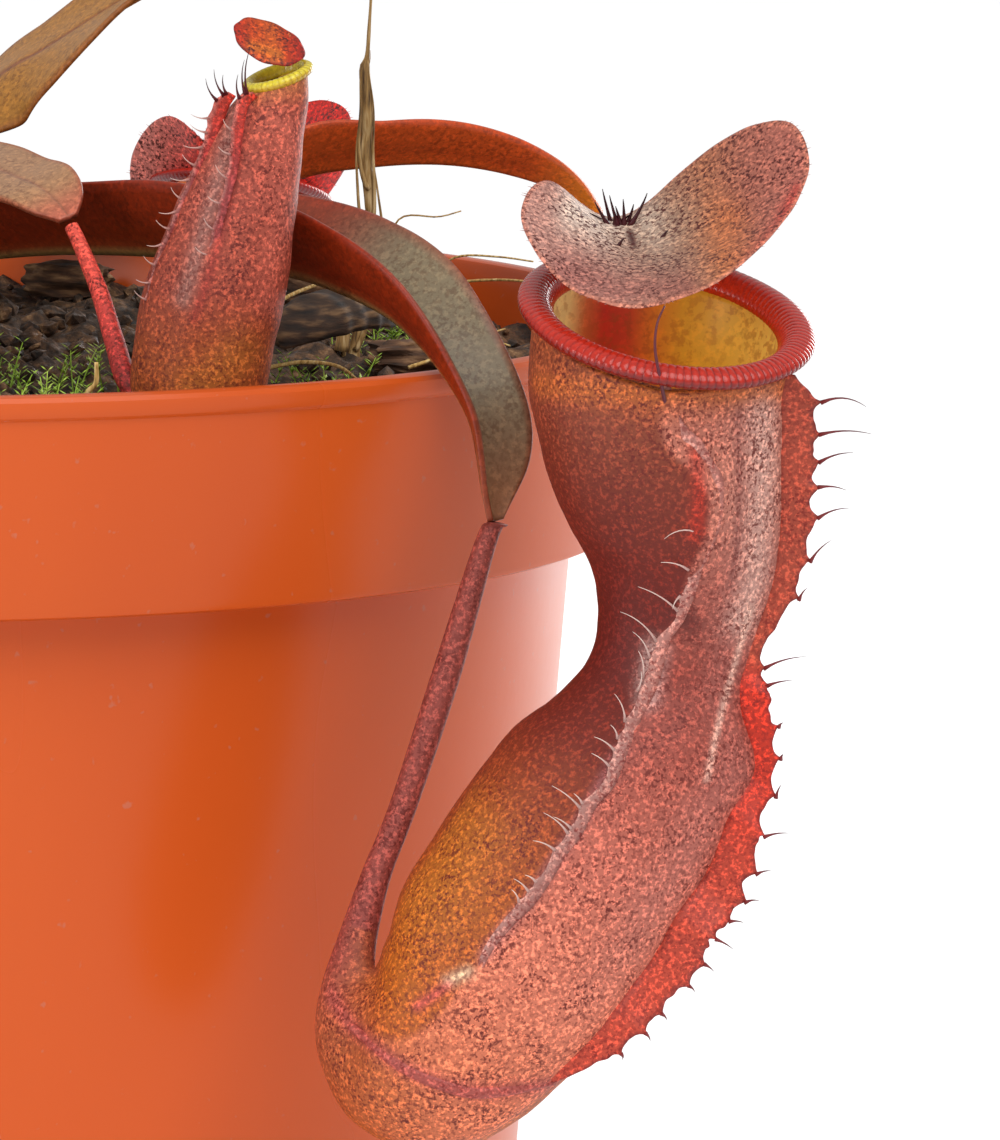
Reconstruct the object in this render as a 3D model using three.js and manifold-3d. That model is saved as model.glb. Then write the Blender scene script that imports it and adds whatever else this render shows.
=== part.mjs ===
// A tropical pitcher plant in a nursery pot. Millimetres, +Z up, the origin at the centre of the
// pot's flat base. The large pitcher hangs over the rim at the front right, towards -Y and +X.
import * as THREE from 'three';
import { mergeVertices } from 'three/addons/utils/BufferGeometryUtils.js';
import Module from 'manifold-3d';

const wasm = await Module();
wasm.setup();

// ---------------------------------------------------------------- driving dimensions
const RIM_RADIUS = 95; // a 19 cm pot
const POT_HEIGHT = 150;
const BAND_HEIGHT = 24.6; // the thickened rim band
const BODY_RADIUS = 88; // of the wall just under the band
const BASE_RADIUS = 79.4;
const POT_WALL = 1.6;
const FLOOR = 2.2;
const POT_SIDES = 40;
const DRAIN_HOLES = 6;
const DRAIN_RADIUS = 4.5;
const DRAIN_CIRCLE = 52;

const GAP = 0.4; // kept between pieces that touch
const SOIL_TOP = 141.5; // at the pot's wall
const SOIL_ROUGHNESS = 2.2;
const STEM_RADIUS = 5.5;
const STEM_FOOT = 119;
const STEM_TOP = 181;
const BLADE = 0.8; // thickness of a leaf
const CUP_WALL = 0.9;

// ---------------------------------------------------------------- small helpers
const vec = (x, y, z) => new THREE.Vector3(x, y, z);
const radians = (degrees) => (degrees * Math.PI) / 180;
const mix = (a, b, t) => a + (b - a) * t;

function randomFrom(seed) {
  let state = seed;
  return () => {
    state = (state * 1664525 + 1013904223) % 4294967296;
    return state / 4294967296;
  };
}

// A closed geometry of points and triangles, turned so that its faces look outwards.
function closedGeometry(points, faces) {
  const geometry = new THREE.BufferGeometry();
  geometry.setAttribute(
    'position',
    new THREE.Float32BufferAttribute(points.flatMap((p) => [p.x, p.y, p.z]), 3),
  );
  let volume = 0;
  for (let i = 0; i < faces.length; i += 3) {
    const [a, b, c] = [points[faces[i]], points[faces[i + 1]], points[faces[i + 2]]];
    volume += a.dot(b.clone().cross(c));
  }
  if (volume < 0) {
    for (let i = 0; i < faces.length; i += 3) {
      [faces[i + 1], faces[i + 2]] = [faces[i + 2], faces[i + 1]];
    }
  }
  geometry.setIndex(faces);
  return geometry;
}

// A skin over rings of equal counts, closed on itself as a ring, or capped at both ends: by a fan,
// or across the thickness where each ring is a thin sheet's two faces.
function loft(rings, closed = false, sheet = false) {
  const count = rings[0].length;
  const points = rings.flat().map((p) => p.clone());
  const faces = [];
  const bands = closed ? rings.length : rings.length - 1;
  for (let i = 0; i < bands; i++) {
    const next = (i + 1) % rings.length;
    for (let j = 0; j < count; j++) {
      const k = (j + 1) % count;
      const [a, b] = [i * count + j, i * count + k];
      const [c, d] = [next * count + j, next * count + k];
      faces.push(a, b, d, a, d, c);
    }
  }
  if (!closed) {
    for (const [start, ring, turned] of [
      [0, rings[0], false],
      [(rings.length - 1) * count, rings[rings.length - 1], true],
    ]) {
      if (sheet) {
        for (let j = 0; j + 1 < count / 2; j++) {
          const [a, b] = [start + j, start + j + 1];
          const [c, d] = [start + count - 1 - j, start + count - 2 - j];
          faces.push(...(turned ? [a, b, d, a, d, c] : [b, a, d, d, a, c]));
        }
        continue;
      }
      const middle = vec(0, 0, 0);
      ring.forEach((p) => middle.add(p));
      points.push(middle.divideScalar(count));
      for (let j = 0; j < count; j++) {
        const [a, b] = [start + j, start + ((j + 1) % count)];
        faces.push(points.length - 1, ...(turned ? [a, b] : [b, a]));
      }
    }
  }
  return closedGeometry(points, faces);
}

// An ellipse of points about a centre, along two half axes.
function ellipse(centre, across, along, sides) {
  return Array.from({ length: sides }, (_, i) => {
    const angle = (2 * Math.PI * i) / sides;
    return centre
      .clone()
      .addScaledVector(across, Math.cos(angle))
      .addScaledVector(along, Math.sin(angle));
  });
}

// A tapering tube along points, with one radius for each point.
function taperedTube(path, radii, sides) {
  let side = vec(0.31, 0.95, 0.11);
  const rings = path.map((point, i) => {
    const before = path[Math.max(i - 1, 0)];
    const after = path[Math.min(i + 1, path.length - 1)];
    const tangent = after.clone().sub(before).normalize();
    side = side.clone().addScaledVector(tangent, -side.dot(tangent)).normalize();
    const other = tangent.clone().cross(side);
    const radius = radii[i];
    return ellipse(point, side.clone().multiplyScalar(radius), other.multiplyScalar(radius), sides);
  });
  return loft(rings);
}

// A three-sided spine that stands on a surface, bent a little towards its tip.
function spine(root, direction, length, radius, bend) {
  const start = root.clone().addScaledVector(direction, -SPINE_ROOT);
  const middle = root.clone().addScaledVector(direction, length * 0.5);
  const tip = root.clone().addScaledVector(direction, length).add(bend);
  return taperedTube([start, middle, tip], [radius, radius * 0.75, radius * 0.3], 3);
}
const SPINE_ROOT = 0.6;

function toSolid(geometry) {
  const bare = new THREE.BufferGeometry();
  bare.setAttribute('position', geometry.getAttribute('position'));
  bare.setIndex(geometry.index);
  const merged = mergeVertices(bare, 1e-4);
  return new wasm.Manifold(
    new wasm.Mesh({
      numProp: 3,
      vertProperties: merged.attributes.position.array,
      triVerts: new Uint32Array(merged.index.array),
    }),
  );
}

function toGeometry(solid) {
  const mesh = solid.getMesh();
  const geometry = new THREE.BufferGeometry();
  geometry.setAttribute('position', new THREE.Float32BufferAttribute(mesh.vertProperties, 3));
  geometry.setIndex([...mesh.triVerts]);
  return geometry;
}

const fused = (geometries) => geometries.map(toSolid).reduce((sum, next) => sum.add(next));

const plant = new THREE.Group();
plant.name = 'potted_pitcher_plant';

function addPiece(name, geometry, color, roughness) {
  const flat = geometry.index ? geometry.toNonIndexed() : geometry.clone();
  flat.computeVertexNormals();
  const material = new THREE.MeshStandardMaterial({ color, roughness, metalness: 0 });
  const mesh = new THREE.Mesh(flat, material);
  mesh.name = name;
  plant.add(mesh);
}

// ---------------------------------------------------------------- pot
const BAND_FOOT = POT_HEIGHT - BAND_HEIGHT;
const POT_OUTSIDE = [
  [0, 0],
  [BASE_RADIUS - 2, 0],
  [BASE_RADIUS, 3],
  [BODY_RADIUS, BAND_FOOT],
  [RIM_RADIUS - 2.2, BAND_FOOT],
  [RIM_RADIUS - 1.6, BAND_FOOT + 0.8],
  [RIM_RADIUS, POT_HEIGHT - 2.6],
  [RIM_RADIUS + 0.8, POT_HEIGHT - 1.9],
  [RIM_RADIUS + 0.8, POT_HEIGHT - 0.6],
  [RIM_RADIUS, POT_HEIGHT],
];
const POT_INSIDE = [
  [RIM_RADIUS - 1.4, POT_HEIGHT],
  [RIM_RADIUS - 1.9, POT_HEIGHT - 0.6],
  [RIM_RADIUS - 2.9, BAND_FOOT + 2.8],
  [BODY_RADIUS - POT_WALL, BAND_FOOT + 1.4],
  [BASE_RADIUS - POT_WALL, FLOOR + 2],
  [BASE_RADIUS - POT_WALL - 2, FLOOR],
];

function turned(profile) {
  const geometry = new THREE.LatheGeometry(
    profile.map(([r, z]) => new THREE.Vector2(r, z)),
    POT_SIDES,
  );
  geometry.rotateX(Math.PI / 2);
  return geometry;
}

function pot() {
  let solid = toSolid(turned([...POT_OUTSIDE, ...POT_INSIDE, [0, FLOOR]]));
  for (let i = 0; i < DRAIN_HOLES; i++) {
    const angle = (2 * Math.PI * i) / DRAIN_HOLES;
    const drill = new THREE.CylinderGeometry(DRAIN_RADIUS, DRAIN_RADIUS, 3 * FLOOR, 12);
    drill.rotateX(Math.PI / 2);
    drill.translate(DRAIN_CIRCLE * Math.cos(angle), DRAIN_CIRCLE * Math.sin(angle), FLOOR / 2);
    solid = solid.subtract(toSolid(drill));
  }
  return toGeometry(solid);
}
addPiece('pot', pot(), 0xc4602f, 0.35);

// ---------------------------------------------------------------- soil
// The mix follows the pot's inside, GAP clear of it, and its top is a field of small lumps.
const soilHeight = (x, y) =>
  SOIL_TOP +
  SOIL_ROUGHNESS * (0.55 * Math.sin(0.19 * x + 1) * Math.cos(0.23 * y) + 0.45 * Math.sin(0.41 * x - 0.37 * y)) +
  2 * (1 - Math.hypot(x, y) / RIM_RADIUS);

function soil() {
  const ring = (radius, height) =>
    Array.from({ length: POT_SIDES }, (_, i) => {
      const angle = (2 * Math.PI * i) / POT_SIDES;
      const [x, y] = [radius * Math.cos(angle), radius * Math.sin(angle)];
      return vec(x, y, height ?? soilHeight(x, y));
    });
  const [, , ledgeOuter, ledgeInner, floorOuter, floorInner] = POT_INSIDE;
  const wallSlope = 1 / 24;
  const topRadius = ledgeOuter[0] + (SOIL_TOP - ledgeOuter[1]) * wallSlope - GAP;
  const rings = [
    ring(floorInner[0] - GAP, floorInner[1] + GAP),
    ring(floorOuter[0] - GAP, floorOuter[1] + GAP),
    ring(ledgeInner[0] - GAP, ledgeInner[1] + GAP),
    ring(ledgeOuter[0] - GAP, ledgeOuter[1] + GAP),
    ring(topRadius, SOIL_TOP - 2.5),
    ...[topRadius - 3, 74, 58, 42, 26, 12].map((radius) => ring(radius)),
  ];
  let solid = toSolid(loft(rings));
  for (const [x, y, radius, foot] of SOIL_HOLES) {
    const drill = new THREE.CylinderGeometry(radius, radius, 60, 16);
    drill.rotateX(Math.PI / 2);
    drill.translate(x, y, foot + 30);
    solid = solid.subtract(toSolid(drill));
  }
  return toGeometry(solid);
}

// What stands in the soil: x, y, the hole's radius and its floor.
const STICK_AT = [62, 10];
const SMALL_PITCHER_AT = [41, -64];
const SOIL_HOLES = [
  [0, 0, STEM_RADIUS + 1.5, STEM_FOOT - GAP],
  [...STICK_AT, 2.6, 131.5],
  [...SMALL_PITCHER_AT, 9, 142.6],
];
addPiece('soil', soil(), 0x1e1712, 0.95);

// ---------------------------------------------------------------- stem
function stem() {
  const heights = [STEM_FOOT, 140, 160, 174, STEM_TOP];
  const radii = [STEM_RADIUS, STEM_RADIUS, STEM_RADIUS - 0.7, STEM_RADIUS - 1.8, 1.6];
  const lean = [0, 0, 0.2, 0.5, 0.6];
  const body = taperedTube(heights.map((z, i) => vec(lean[i], 0, z)), radii, 12);
  // Scars of old leaves stand out as thin collars.
  const collars = [146, 166].map((z) =>
    taperedTube([vec(0.1, 0, z), vec(0.1, 0, z + 0.8)], [STEM_RADIUS + 0.5, STEM_RADIUS - 1.5], 12),
  );
  return toGeometry(fused([body, ...collars]));
}
addPiece('stem', stem(), 0x6e6238, 0.7);

// ---------------------------------------------------------------- leaves
// A strap blade with a keel. A row gives the keel's distance from the stem and its height, then the
// width and the lift in degrees of the near half and of the far half. The near half lies clockwise.
const LEAF_HALF = [0.5, 1];

function bladeGeometry(heading, rows) {
  const out = vec(Math.cos(radians(heading)), Math.sin(radians(heading)), 0);
  const side = vec(-out.y, out.x, 0);
  const keel = rows.map(([s, z]) => out.clone().multiplyScalar(s).setZ(z));
  const rings = rows.map(([, , nearWidth, nearLift, farWidth, farLift], i) => {
    const tangent = keel[Math.min(i + 1, keel.length - 1)]
      .clone()
      .sub(keel[Math.max(i - 1, 0)])
      .normalize();
    const normal = tangent.clone().cross(side).normalize();
    const point = (sign, width, lift, share) => {
      const angle = radians(lift * mix(0.75, 1.05, share));
      return keel[i]
        .clone()
        .addScaledVector(side, sign * width * share * Math.cos(angle))
        .addScaledVector(normal, width * share * Math.sin(angle));
    };
    const face = [
      ...[...LEAF_HALF].reverse().map((share) => point(-1, nearWidth, nearLift, share)),
      keel[i],
      ...LEAF_HALF.map((share) => point(1, farWidth, farLift, share)),
    ];
    const normals = face.map((_, j) => {
      const span = face[Math.min(j + 1, face.length - 1)].clone().sub(face[Math.max(j - 1, 0)]);
      return tangent.clone().cross(span).normalize();
    });
    const upper = face.map((p, j) => p.clone().addScaledVector(normals[j], BLADE / 2));
    const lower = face.map((p, j) => p.clone().addScaledVector(normals[j], -BLADE / 2));
    return [...upper, ...lower.reverse()];
  });
  return loft(rings, false, true);
}

// The same wave on both edges of a leaf, by turns up and down.
const waved = (rows, degrees) =>
  rows.map(([s, z, nw, nl, fw, fl], i) => {
    const wave = degrees * Math.sin(1.9 * i);
    return [s, z, nw, nl + wave, fw, fl - wave];
  });

// Leaf A lies over the front rim with its edges raised, and turns down to the large pitcher.
const LEAF_A = [
  [7.5, 152.6, 3, 35, 3, 35],
  [16, 155.8, 6, 40, 6, 38],
  [28.2, 157.9, 7.4, 50, 8.5, 36],
  [40.2, 159.4, 8.4, 56, 10, 36],
  [57, 160.3, 9, 62, 11, 36],
  [73.8, 159.7, 8.6, 64, 11, 36],
  [82.2, 158.4, 7.6, 62, 10.2, 38],
  [89.4, 156.2, 6.2, 60, 9.2, 40],
  [94.6, 153.1, 4.6, 58, 8, 40],
  [99, 149.2, 3, 56, 7.2, 38],
  [102, 145.4, 2.3, 50, 6.6, 32],
  [103.2, 141.7, 1.9, 45, 6, 28],
  [104, 138, 1.3, 40, 4.2, 28],
  [104.9, 135.6, 1, 30, 1.3, 30],
];
const LEAF_B = [
  [7.5, 151, 3, 30, 3, 30],
  [18, 156.2, 4.6, 40, 5.5, 30],
  [30, 159.6, 5.6, 42, 6.5, 28],
  [44, 161.8, 6.6, 42, 7, 26],
  [59, 163.4, 7.6, 48, 7.4, 24],
  [69, 164.6, 7.2, 44, 7.2, 22],
  [77, 164.7, 6.6, 44, 6.8, 20],
  [84, 163.8, 5.8, 42, 6, 18],
  [90.6, 162, 4.4, 38, 4.6, 18],
  [95, 160, 2.8, 34, 3, 18],
  [98.4, 157.6, 1.2, 30, 1.2, 20],
];
const LEAF_C = [
  [7.5, 162, 2.6, -10, 2.6, 10],
  [13, 169.5, 5, -28, 5, 14],
  [20.4, 176.7, 9.6, -40, 8, 16],
  [26, 180.1, 9.8, -26, 8.5, 20],
  [32.3, 184.2, 9.4, -14, 8.6, 24],
  [38, 187.6, 9, -4, 8.6, 24],
  [46, 191.9, 8.4, 2, 8, 22],
  [54, 195.9, 6.6, 4, 6.4, 18],
  [60, 198.6, 4.4, 4, 4.2, 14],
  [65, 200.6, 1.4, 0, 1.4, 10],
];
const LEAF_D = [
  [7.5, 166.2, 2.4, 10, 2.4, 16],
  [15, 168.4, 4.4, 0, 4.4, 18],
  [25, 169.5, 6, -12, 6, 18],
  [34, 169.4, 6.6, -18, 6.4, 20],
  [41, 168.6, 6.2, -18, 6.4, 24],
  [47, 167.2, 5, -18, 5.4, 30],
  [51, 165.8, 3, -20, 3.4, 32],
  [53.4, 164.4, 1.1, -20, 1.1, 30],
];
// The leaf behind lies flat just above the rim, and turns down over it.
const LEAF_BACK = [
  [7.5, 150.8, 3, 25, 3, 25],
  [16, 152, 6, 24, 6, 22],
  [28, 152.6, 7.4, 22, 8, 20],
  [44, 152.6, 8.4, 20, 9, 18],
  [60, 152.6, 8.6, 20, 9.4, 18],
  [76, 152.6, 8.2, 20, 9, 18],
  [86, 152.7, 7.4, 22, 8.4, 20],
  [93, 152.6, 6, 26, 7, 24],
  [96.6, 151.4, 4.8, 30, 6, 26],
  [99.6, 148.6, 3.4, 36, 5.4, 28],
  [102, 145, 2.3, 40, 4.6, 30],
  [103.2, 141.3, 1.9, 40, 3.8, 28],
  [104, 137.6, 1.3, 36, 2.8, 28],
  [104.9, 135.2, 1, 30, 1.3, 30],
];

// The hidden side is completed with arching leaves of the same growth. A reach, a height of the
// root and an arch stand for one leaf.
function archingLeaf(reach, root, arch, width, tipDrop) {
  const count = 9;
  return Array.from({ length: count }, (_, i) => {
    const t = i / (count - 1);
    const half = 1.2 + width * Math.sin(Math.PI * Math.min(1, 0.12 + 0.9 * t)) ** 0.8;
    const rise = arch * Math.sin((Math.PI / 2) * Math.min(1, t * 1.7)) - tipDrop * t ** 3;
    return [mix(7.5, reach, t), root + rise, half, 24 - 10 * t, half, 24 - 10 * t];
  });
}

const LARGE_HEADING = -46.5;
const BACK_HEADING = 68;
const LEFT_HEADING = 205;
const GREEN_BROWN = 0x7a5a2c;
const lowered = (rows, drop) => rows.map(([s, z, ...rest]) => [s, z - drop, ...rest]);
const LEAVES = [
  ['leaf_front_strap', LARGE_HEADING, LEAF_A, 0x7a2f16],
  ['leaf_right_back', 20, LEAF_B, 0x8f3f18],
  ['leaf_tall_right', -15, LEAF_C, 0xa87a3a],
  ['leaf_front_short', -60, LEAF_D, 0xa38c66],
  ['leaf_back', BACK_HEADING, LEAF_BACK, 0x7d7a3c],
  ['leaf_back_left', 118, waved(archingLeaf(88, 163, 26, 9.5, 22), 5), GREEN_BROWN],
  ['leaf_left', 158, waved(archingLeaf(80, 168, 30, 9, 12), 5), 0x86742f],
  ['leaf_left_strap', LEFT_HEADING, lowered(LEAF_A, 0.2), 0x7a3a1c],
  ['leaf_front_left', 252, waved(archingLeaf(84, 163, 17, 9, 20), 5), 0x7a6a30],
];
for (const [name, heading, rows, color] of LEAVES) {
  addPiece(name, bladeGeometry(heading, rows), color, 0.45);
}

// ---------------------------------------------------------------- pitchers
// The large pitcher in its own upright plane: x and z of the inner and outer edge of each section,
// and its depth position y. It starts at the leaf's tip as the tendril, turns under its own base
// and rises to the mouth.
const TENDRIL = [
  [74.1, 134.3, 71.9, 134.7, -76.9],
  [72.9, 132.5, 70.5, 132.7, -77.5],
  [69, 118.2, 65.8, 118.5, -80],
  [64.3, 104.1, 61.3, 104.6, -82.5],
  [61.5, 96.8, 58.4, 97.6, -84],
  [60, 90.6, 56, 91.3, -85.5],
];
const BODY = [
  [59.6, 87.6, 53.7, 84.6, -87],
  [59.6, 87.2, 53.2, 79.4, -88.5],
  [59.7, 87.4, 54.8, 74.3, -89.5],
  [59.8, 87.9, 57.6, 70.5, -90.5],
  [60, 88.7, 62.6, 68.2, -91],
  [60.3, 90, 68.5, 68, -91],
  [60.9, 91.7, 74.5, 70.9, -91],
  [61.6, 94.3, 79.9, 75.4, -90.5],
  [62.8, 97.1, 85.2, 80.8, -90],
  [65.8, 101.8, 90.3, 89, -89.5],
  [69.5, 107.6, 94.7, 96.7, -89],
  [74.2, 113.4, 98.5, 104.3, -88.5],
  [78.8, 117.1, 100.9, 110.3, -88],
  [82.2, 121.1, 100.1, 116.2, -87.5],
  [83.3, 125.4, 100.7, 121.6, -87],
  [82.5, 130.9, 102.2, 128.2, -87],
  [80, 135.7, 103.2, 134.8, -87],
  [77.8, 140.6, 103.3, 140, -87],
  [76.2, 146.1, 103.1, 145.7, -87],
  [75.3, 151, 103.4, 151, -87],
];
const FIRST_HOLLOW = 6; // the cup is hollow from this section of the body on
const CUP_SIDES = 14;
const DEPTH_SHARE = 0.96; // the body's depth over its width
const MOUTH = vec(89.9, -87, 156.6);
const MOUTH_ACROSS = vec(14.1, 0, -1.9);
const MOUTH_ALONG = vec(0, 14.1, 4.5);

const bodyTilt = (index) => Math.max(0, (index - 15) / 4) * 0.26;

function sectionRing([ix, iz, ox, oz, y], depthShare, tilt, sides, inset = 0) {
  const centre = vec((ix + ox) / 2, y, (iz + oz) / 2);
  const across = vec((ox - ix) / 2, 0, (oz - iz) / 2);
  const half = across.length();
  const along = vec(0, half * depthShare, half * depthShare * tilt);
  across.setLength(half - inset);
  along.setLength(along.length() - inset);
  return ellipse(centre, across, along, sides);
}

function mouthRing(inset, lift) {
  const across = MOUTH_ACROSS.clone().setLength(MOUTH_ACROSS.length() - inset);
  const along = MOUTH_ALONG.clone().setLength(MOUTH_ALONG.length() - inset);
  const up = across.clone().cross(along).normalize();
  return ellipse(MOUTH.clone().addScaledVector(up, lift), across, along, CUP_SIDES);
}

// The two fringed wings: points down the front of the body (x, z), their height, and spine lengths.
const RIGHT_WING = [
  [103.2, 152, 1.6, 5],
  [104, 145, 2.4, 6],
  [103.9, 138, 2.2, 5],
  [102.6, 131, 2.0, 4.4],
  [100.2, 124, 1.6, 3],
  [98.9, 118.5, 1.8, 4],
  [100.8, 112, 2.6, 1.6],
  [100, 104, 3.2, 2.2],
  [96, 96, 3.2, 2.2],
  [90.8, 88.6, 3, 2],
  [84.6, 82.2, 2.6, 1.6],
  [77.5, 76.6, 1.6, 1],
];
const LEFT_WING = [
  [90.2, 148, 1.2, 0.8],
  [93.3, 142, 1.6, 1],
  [92.8, 134.6, 1.7, 2.6],
  [91, 127.5, 2.2, 3],
  [87.4, 119.5, 1.5, 3],
  [83.2, 111.5, 1.4, 2.6],
  [78.4, 103.4, 1.3, 2.4],
  [74.2, 97.2, 1.2, 2],
  [70.4, 92, 1, 1.2],
];
const WING_HALF = 0.45;

// The front surface of the body at a point of its plane: the section nearest to that point.
function frontOf(x, z) {
  let best = null;
  BODY.forEach((row, index) => {
    const [ix, iz, ox, oz, y] = row;
    const across = vec(ox - ix, 0, oz - iz).multiplyScalar(0.5);
    const centre = vec((ix + ox) / 2, 0, (iz + oz) / 2);
    const offset = vec(x, 0, z).sub(centre);
    const half = across.length();
    const share = THREE.MathUtils.clamp(offset.dot(across) / (half * half), -0.97, 0.97);
    const away = offset.clone().addScaledVector(across, -share).length();
    if (!best || away < best.away) best = { away, share, half, y, across, index };
  });
  const depth = best.half * DEPTH_SHARE * Math.sqrt(1 - best.share ** 2);
  const point = vec(x, best.y - depth, z - depth * bodyTilt(best.index));
  const normal = best.across
    .clone()
    .normalize()
    .multiplyScalar(best.share)
    .add(vec(0, -Math.sqrt(1 - best.share ** 2), 0))
    .normalize();
  return { point, normal };
}

// A wing is a thin ridge sunk into the body, with spines on its edge.
function wing(rows, perGap, lean) {
  const feet = rows.map(([x, z]) => frontOf(x, z));
  const rings = rows.map(([, , height], i) => {
    const { point, normal } = feet[i];
    const before = feet[Math.max(i - 1, 0)].point;
    const after = feet[Math.min(i + 1, feet.length - 1)].point;
    const run = after.clone().sub(before).normalize();
    const side = run.clone().cross(normal).normalize();
    const low = point.clone().addScaledVector(normal, -1.6);
    const top = point.clone().addScaledVector(normal, height);
    return [
      low.clone().addScaledVector(side, 2 * WING_HALF),
      top.clone().addScaledVector(side, WING_HALF),
      top.clone().addScaledVector(side, -WING_HALF),
      low.clone().addScaledVector(side, -2 * WING_HALF),
    ];
  });
  const spines = [];
  for (let i = 0; i + 1 < rows.length; i++) {
    for (let k = 0; k < perGap; k++) {
      const t = (k + 0.5) / perGap;
      const height = mix(rows[i][2], rows[i + 1][2], t);
      const length = mix(rows[i][3], rows[i + 1][3], t);
      const normal = feet[i].normal.clone().lerp(feet[i + 1].normal, t).normalize();
      const root = feet[i].point.clone().lerp(feet[i + 1].point, t);
      const direction = normal.add(lean).normalize();
      root.addScaledVector(direction, height - 0.2);
      spines.push(spine(root, direction, length, 0.3, vec(0, 0, 0.18 * length)));
    }
  }
  return [loft(rings), ...spines];
}

function cup(withWings) {
  const tendril = TENDRIL.map((row) => sectionRing(row, 1, 0, CUP_SIDES));
  const depths = BODY.map((_, i) => mix(0.9, DEPTH_SHARE, Math.min(1, i / 8)));
  const body = BODY.map((row, i) => sectionRing(row, depths[i], bodyTilt(i), CUP_SIDES));
  const outside = loft([...tendril, ...body, mouthRing(0, 0)]);
  const hollowRows = BODY.slice(FIRST_HOLLOW);
  const inside = loft([
    ...hollowRows.map((row, i) => {
      const index = i + FIRST_HOLLOW;
      const inset = i === 0 ? 4 : CUP_WALL;
      return sectionRing(row, depths[index], bodyTilt(index), CUP_SIDES, inset);
    }),
    mouthRing(CUP_WALL, -0.5),
    mouthRing(CUP_WALL, 2),
  ]);
  const trims = withWings
    ? [...wing(RIGHT_WING, 2, vec(0.7, 0, 0)), ...wing(LEFT_WING, 2, vec(-0.7, 0, 0.2))]
    : [];
  return toGeometry(fused([outside, ...trims]).subtract(toSolid(inside)));
}

// The ring around the mouth is a flattened roll with fine ribs across it.
const RING_LIFT = 1.75;
function mouthRoll(centre, across, along, halfWidth, halfHeight, ribs) {
  const up = across.clone().cross(along).normalize();
  const rings = Array.from({ length: ribs * 2 }, (_, i) => {
    const angle = (Math.PI * i) / ribs;
    const outward = across
      .clone()
      .multiplyScalar(Math.cos(angle))
      .addScaledVector(along, Math.sin(angle));
    const point = centre.clone().add(outward).addScaledVector(up, RING_LIFT);
    const scale = i % 2 ? 1 : 0.86;
    return ellipse(
      point,
      outward.normalize().multiplyScalar(halfWidth * scale),
      up.clone().multiplyScalar(halfHeight * scale),
      6,
    );
  });
  return loft(rings, true);
}

// A lid is a bent sheet. point gives each of its points by side number and share of the way from
// the middle to the edge.
function lidSheet(point, sides, thickness) {
  const shares = [0.34, 0.68, 1];
  const face = (lift) => {
    return shares.map((share) =>
      Array.from({ length: sides }, (_, i) => point(i, share).add(vec(0, 0, lift))),
    );
  };
  return loft([...face(-thickness / 2), ...face(thickness / 2).reverse()]);
}

// The edge of the large lid, from its right tip round the front. It is a saddle with both sides
// raised, and a notch at its back holds a short neck and the spurs.
const LID_MIDDLE = vec(87.6, -86.5, 164.2);
const LID_EDGE = [
  [105.5, -86, 174.9],
  [104.7, -88.5, 173.1],
  [103.3, -91, 170.8],
  [100.3, -94.5, 167.8],
  [96.9, -97, 165],
  [93.8, -98.3, 163],
  [90.4, -98.9, 161.6],
  [86.7, -99, 160.6],
  [83.2, -98.2, 160.7],
  [80.1, -96.5, 161.7],
  [77.5, -94, 163.2],
  [75.7, -90.8, 165.4],
  [74.5, -88, 167.6],
  [74.2, -85, 169.2],
  [74.9, -82, 170.8],
  [76.2, -79, 172],
  [78.1, -76.5, 172.2],
  [80, -74.8, 170.8],
  [82, -74.2, 169.1],
  [84.4, -75.4, 167.8],
  [86.8, -74.6, 168.1],
  [89.3, -73.8, 169.7],
  [92.6, -73.2, 172.7],
  [96.4, -73.6, 175.8],
  [99.7, -75.2, 178],
  [102.4, -77.5, 179],
  [104.3, -80, 178.8],
  [105.2, -83, 177.2],
];
const lidPoint = ([x, y, z], share) =>
  vec(
    mix(LID_MIDDLE.x, x, share),
    mix(LID_MIDDLE.y, y, share),
    mix(LID_MIDDLE.z, z, share ** 1.5),
  );

function lid() {
  const sheet = lidSheet((i, share) => lidPoint(LID_EDGE[i], share), LID_EDGE.length, 1);
  const root = lidPoint([85.2, -75.2, 167.9], 0.86);
  const overRing = root.clone().add(vec(0.4, 4.6, 1));
  const behindRing = [vec(-3.6, 18, 8), vec(-3.2, 18, 4.6), vec(-2.9, 16.1, 1.8)];
  const neck = taperedTube(
    [root, overRing, ...behindRing.map((step) => MOUTH.clone().add(step))],
    [1.2, 1.2, 1.1, 1, 0.9],
    6,
  );
  const spurs = [-1.6, -0.8, 0, 0.8, 1.6].map((turn, i) => {
    const direction = vec(Math.sin(turn) * 0.8, 0.25, 0.8).normalize();
    const start = root.clone().add(vec(turn * 1.1, 0.6, 0.4));
    return spine(start, direction, 2.4 + (i % 2), 0.4, vec(0, 0, 0));
  });
  return toGeometry(fused([sheet, neck, ...spurs]));
}

// A copy of the large pitcher hangs from a leaf's tip: mirrored or not, scaled and turned about
// the top of its tendril.
const TENDRIL_TOP = vec(73, -76.9, 134.5);
const TIP_REACH = 106.05;
function placement(heading, drop, scale, degrees, mirrored) {
  const [x, y] = [Math.cos(radians(heading)), Math.sin(radians(heading))];
  return new THREE.Matrix4()
    .makeTranslation(TIP_REACH * x, TIP_REACH * y, TENDRIL_TOP.z - drop)
    .multiply(new THREE.Matrix4().makeRotationZ(radians(degrees)))
    .multiply(new THREE.Matrix4().makeScale(scale, mirrored ? -scale : scale, scale))
    .multiply(new THREE.Matrix4().makeTranslation(-TENDRIL_TOP.x, -TENDRIL_TOP.y, -TENDRIL_TOP.z));
}

function placed(geometry, matrix) {
  const moved = geometry.clone();
  moved.applyMatrix4(matrix);
  if (matrix.determinant() > 0) return moved;
  const index = moved.index.array;
  for (let i = 0; i < index.length; i += 3) {
    [index[i + 1], index[i + 2]] = [index[i + 2], index[i + 1]];
  }
  return moved;
}

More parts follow.
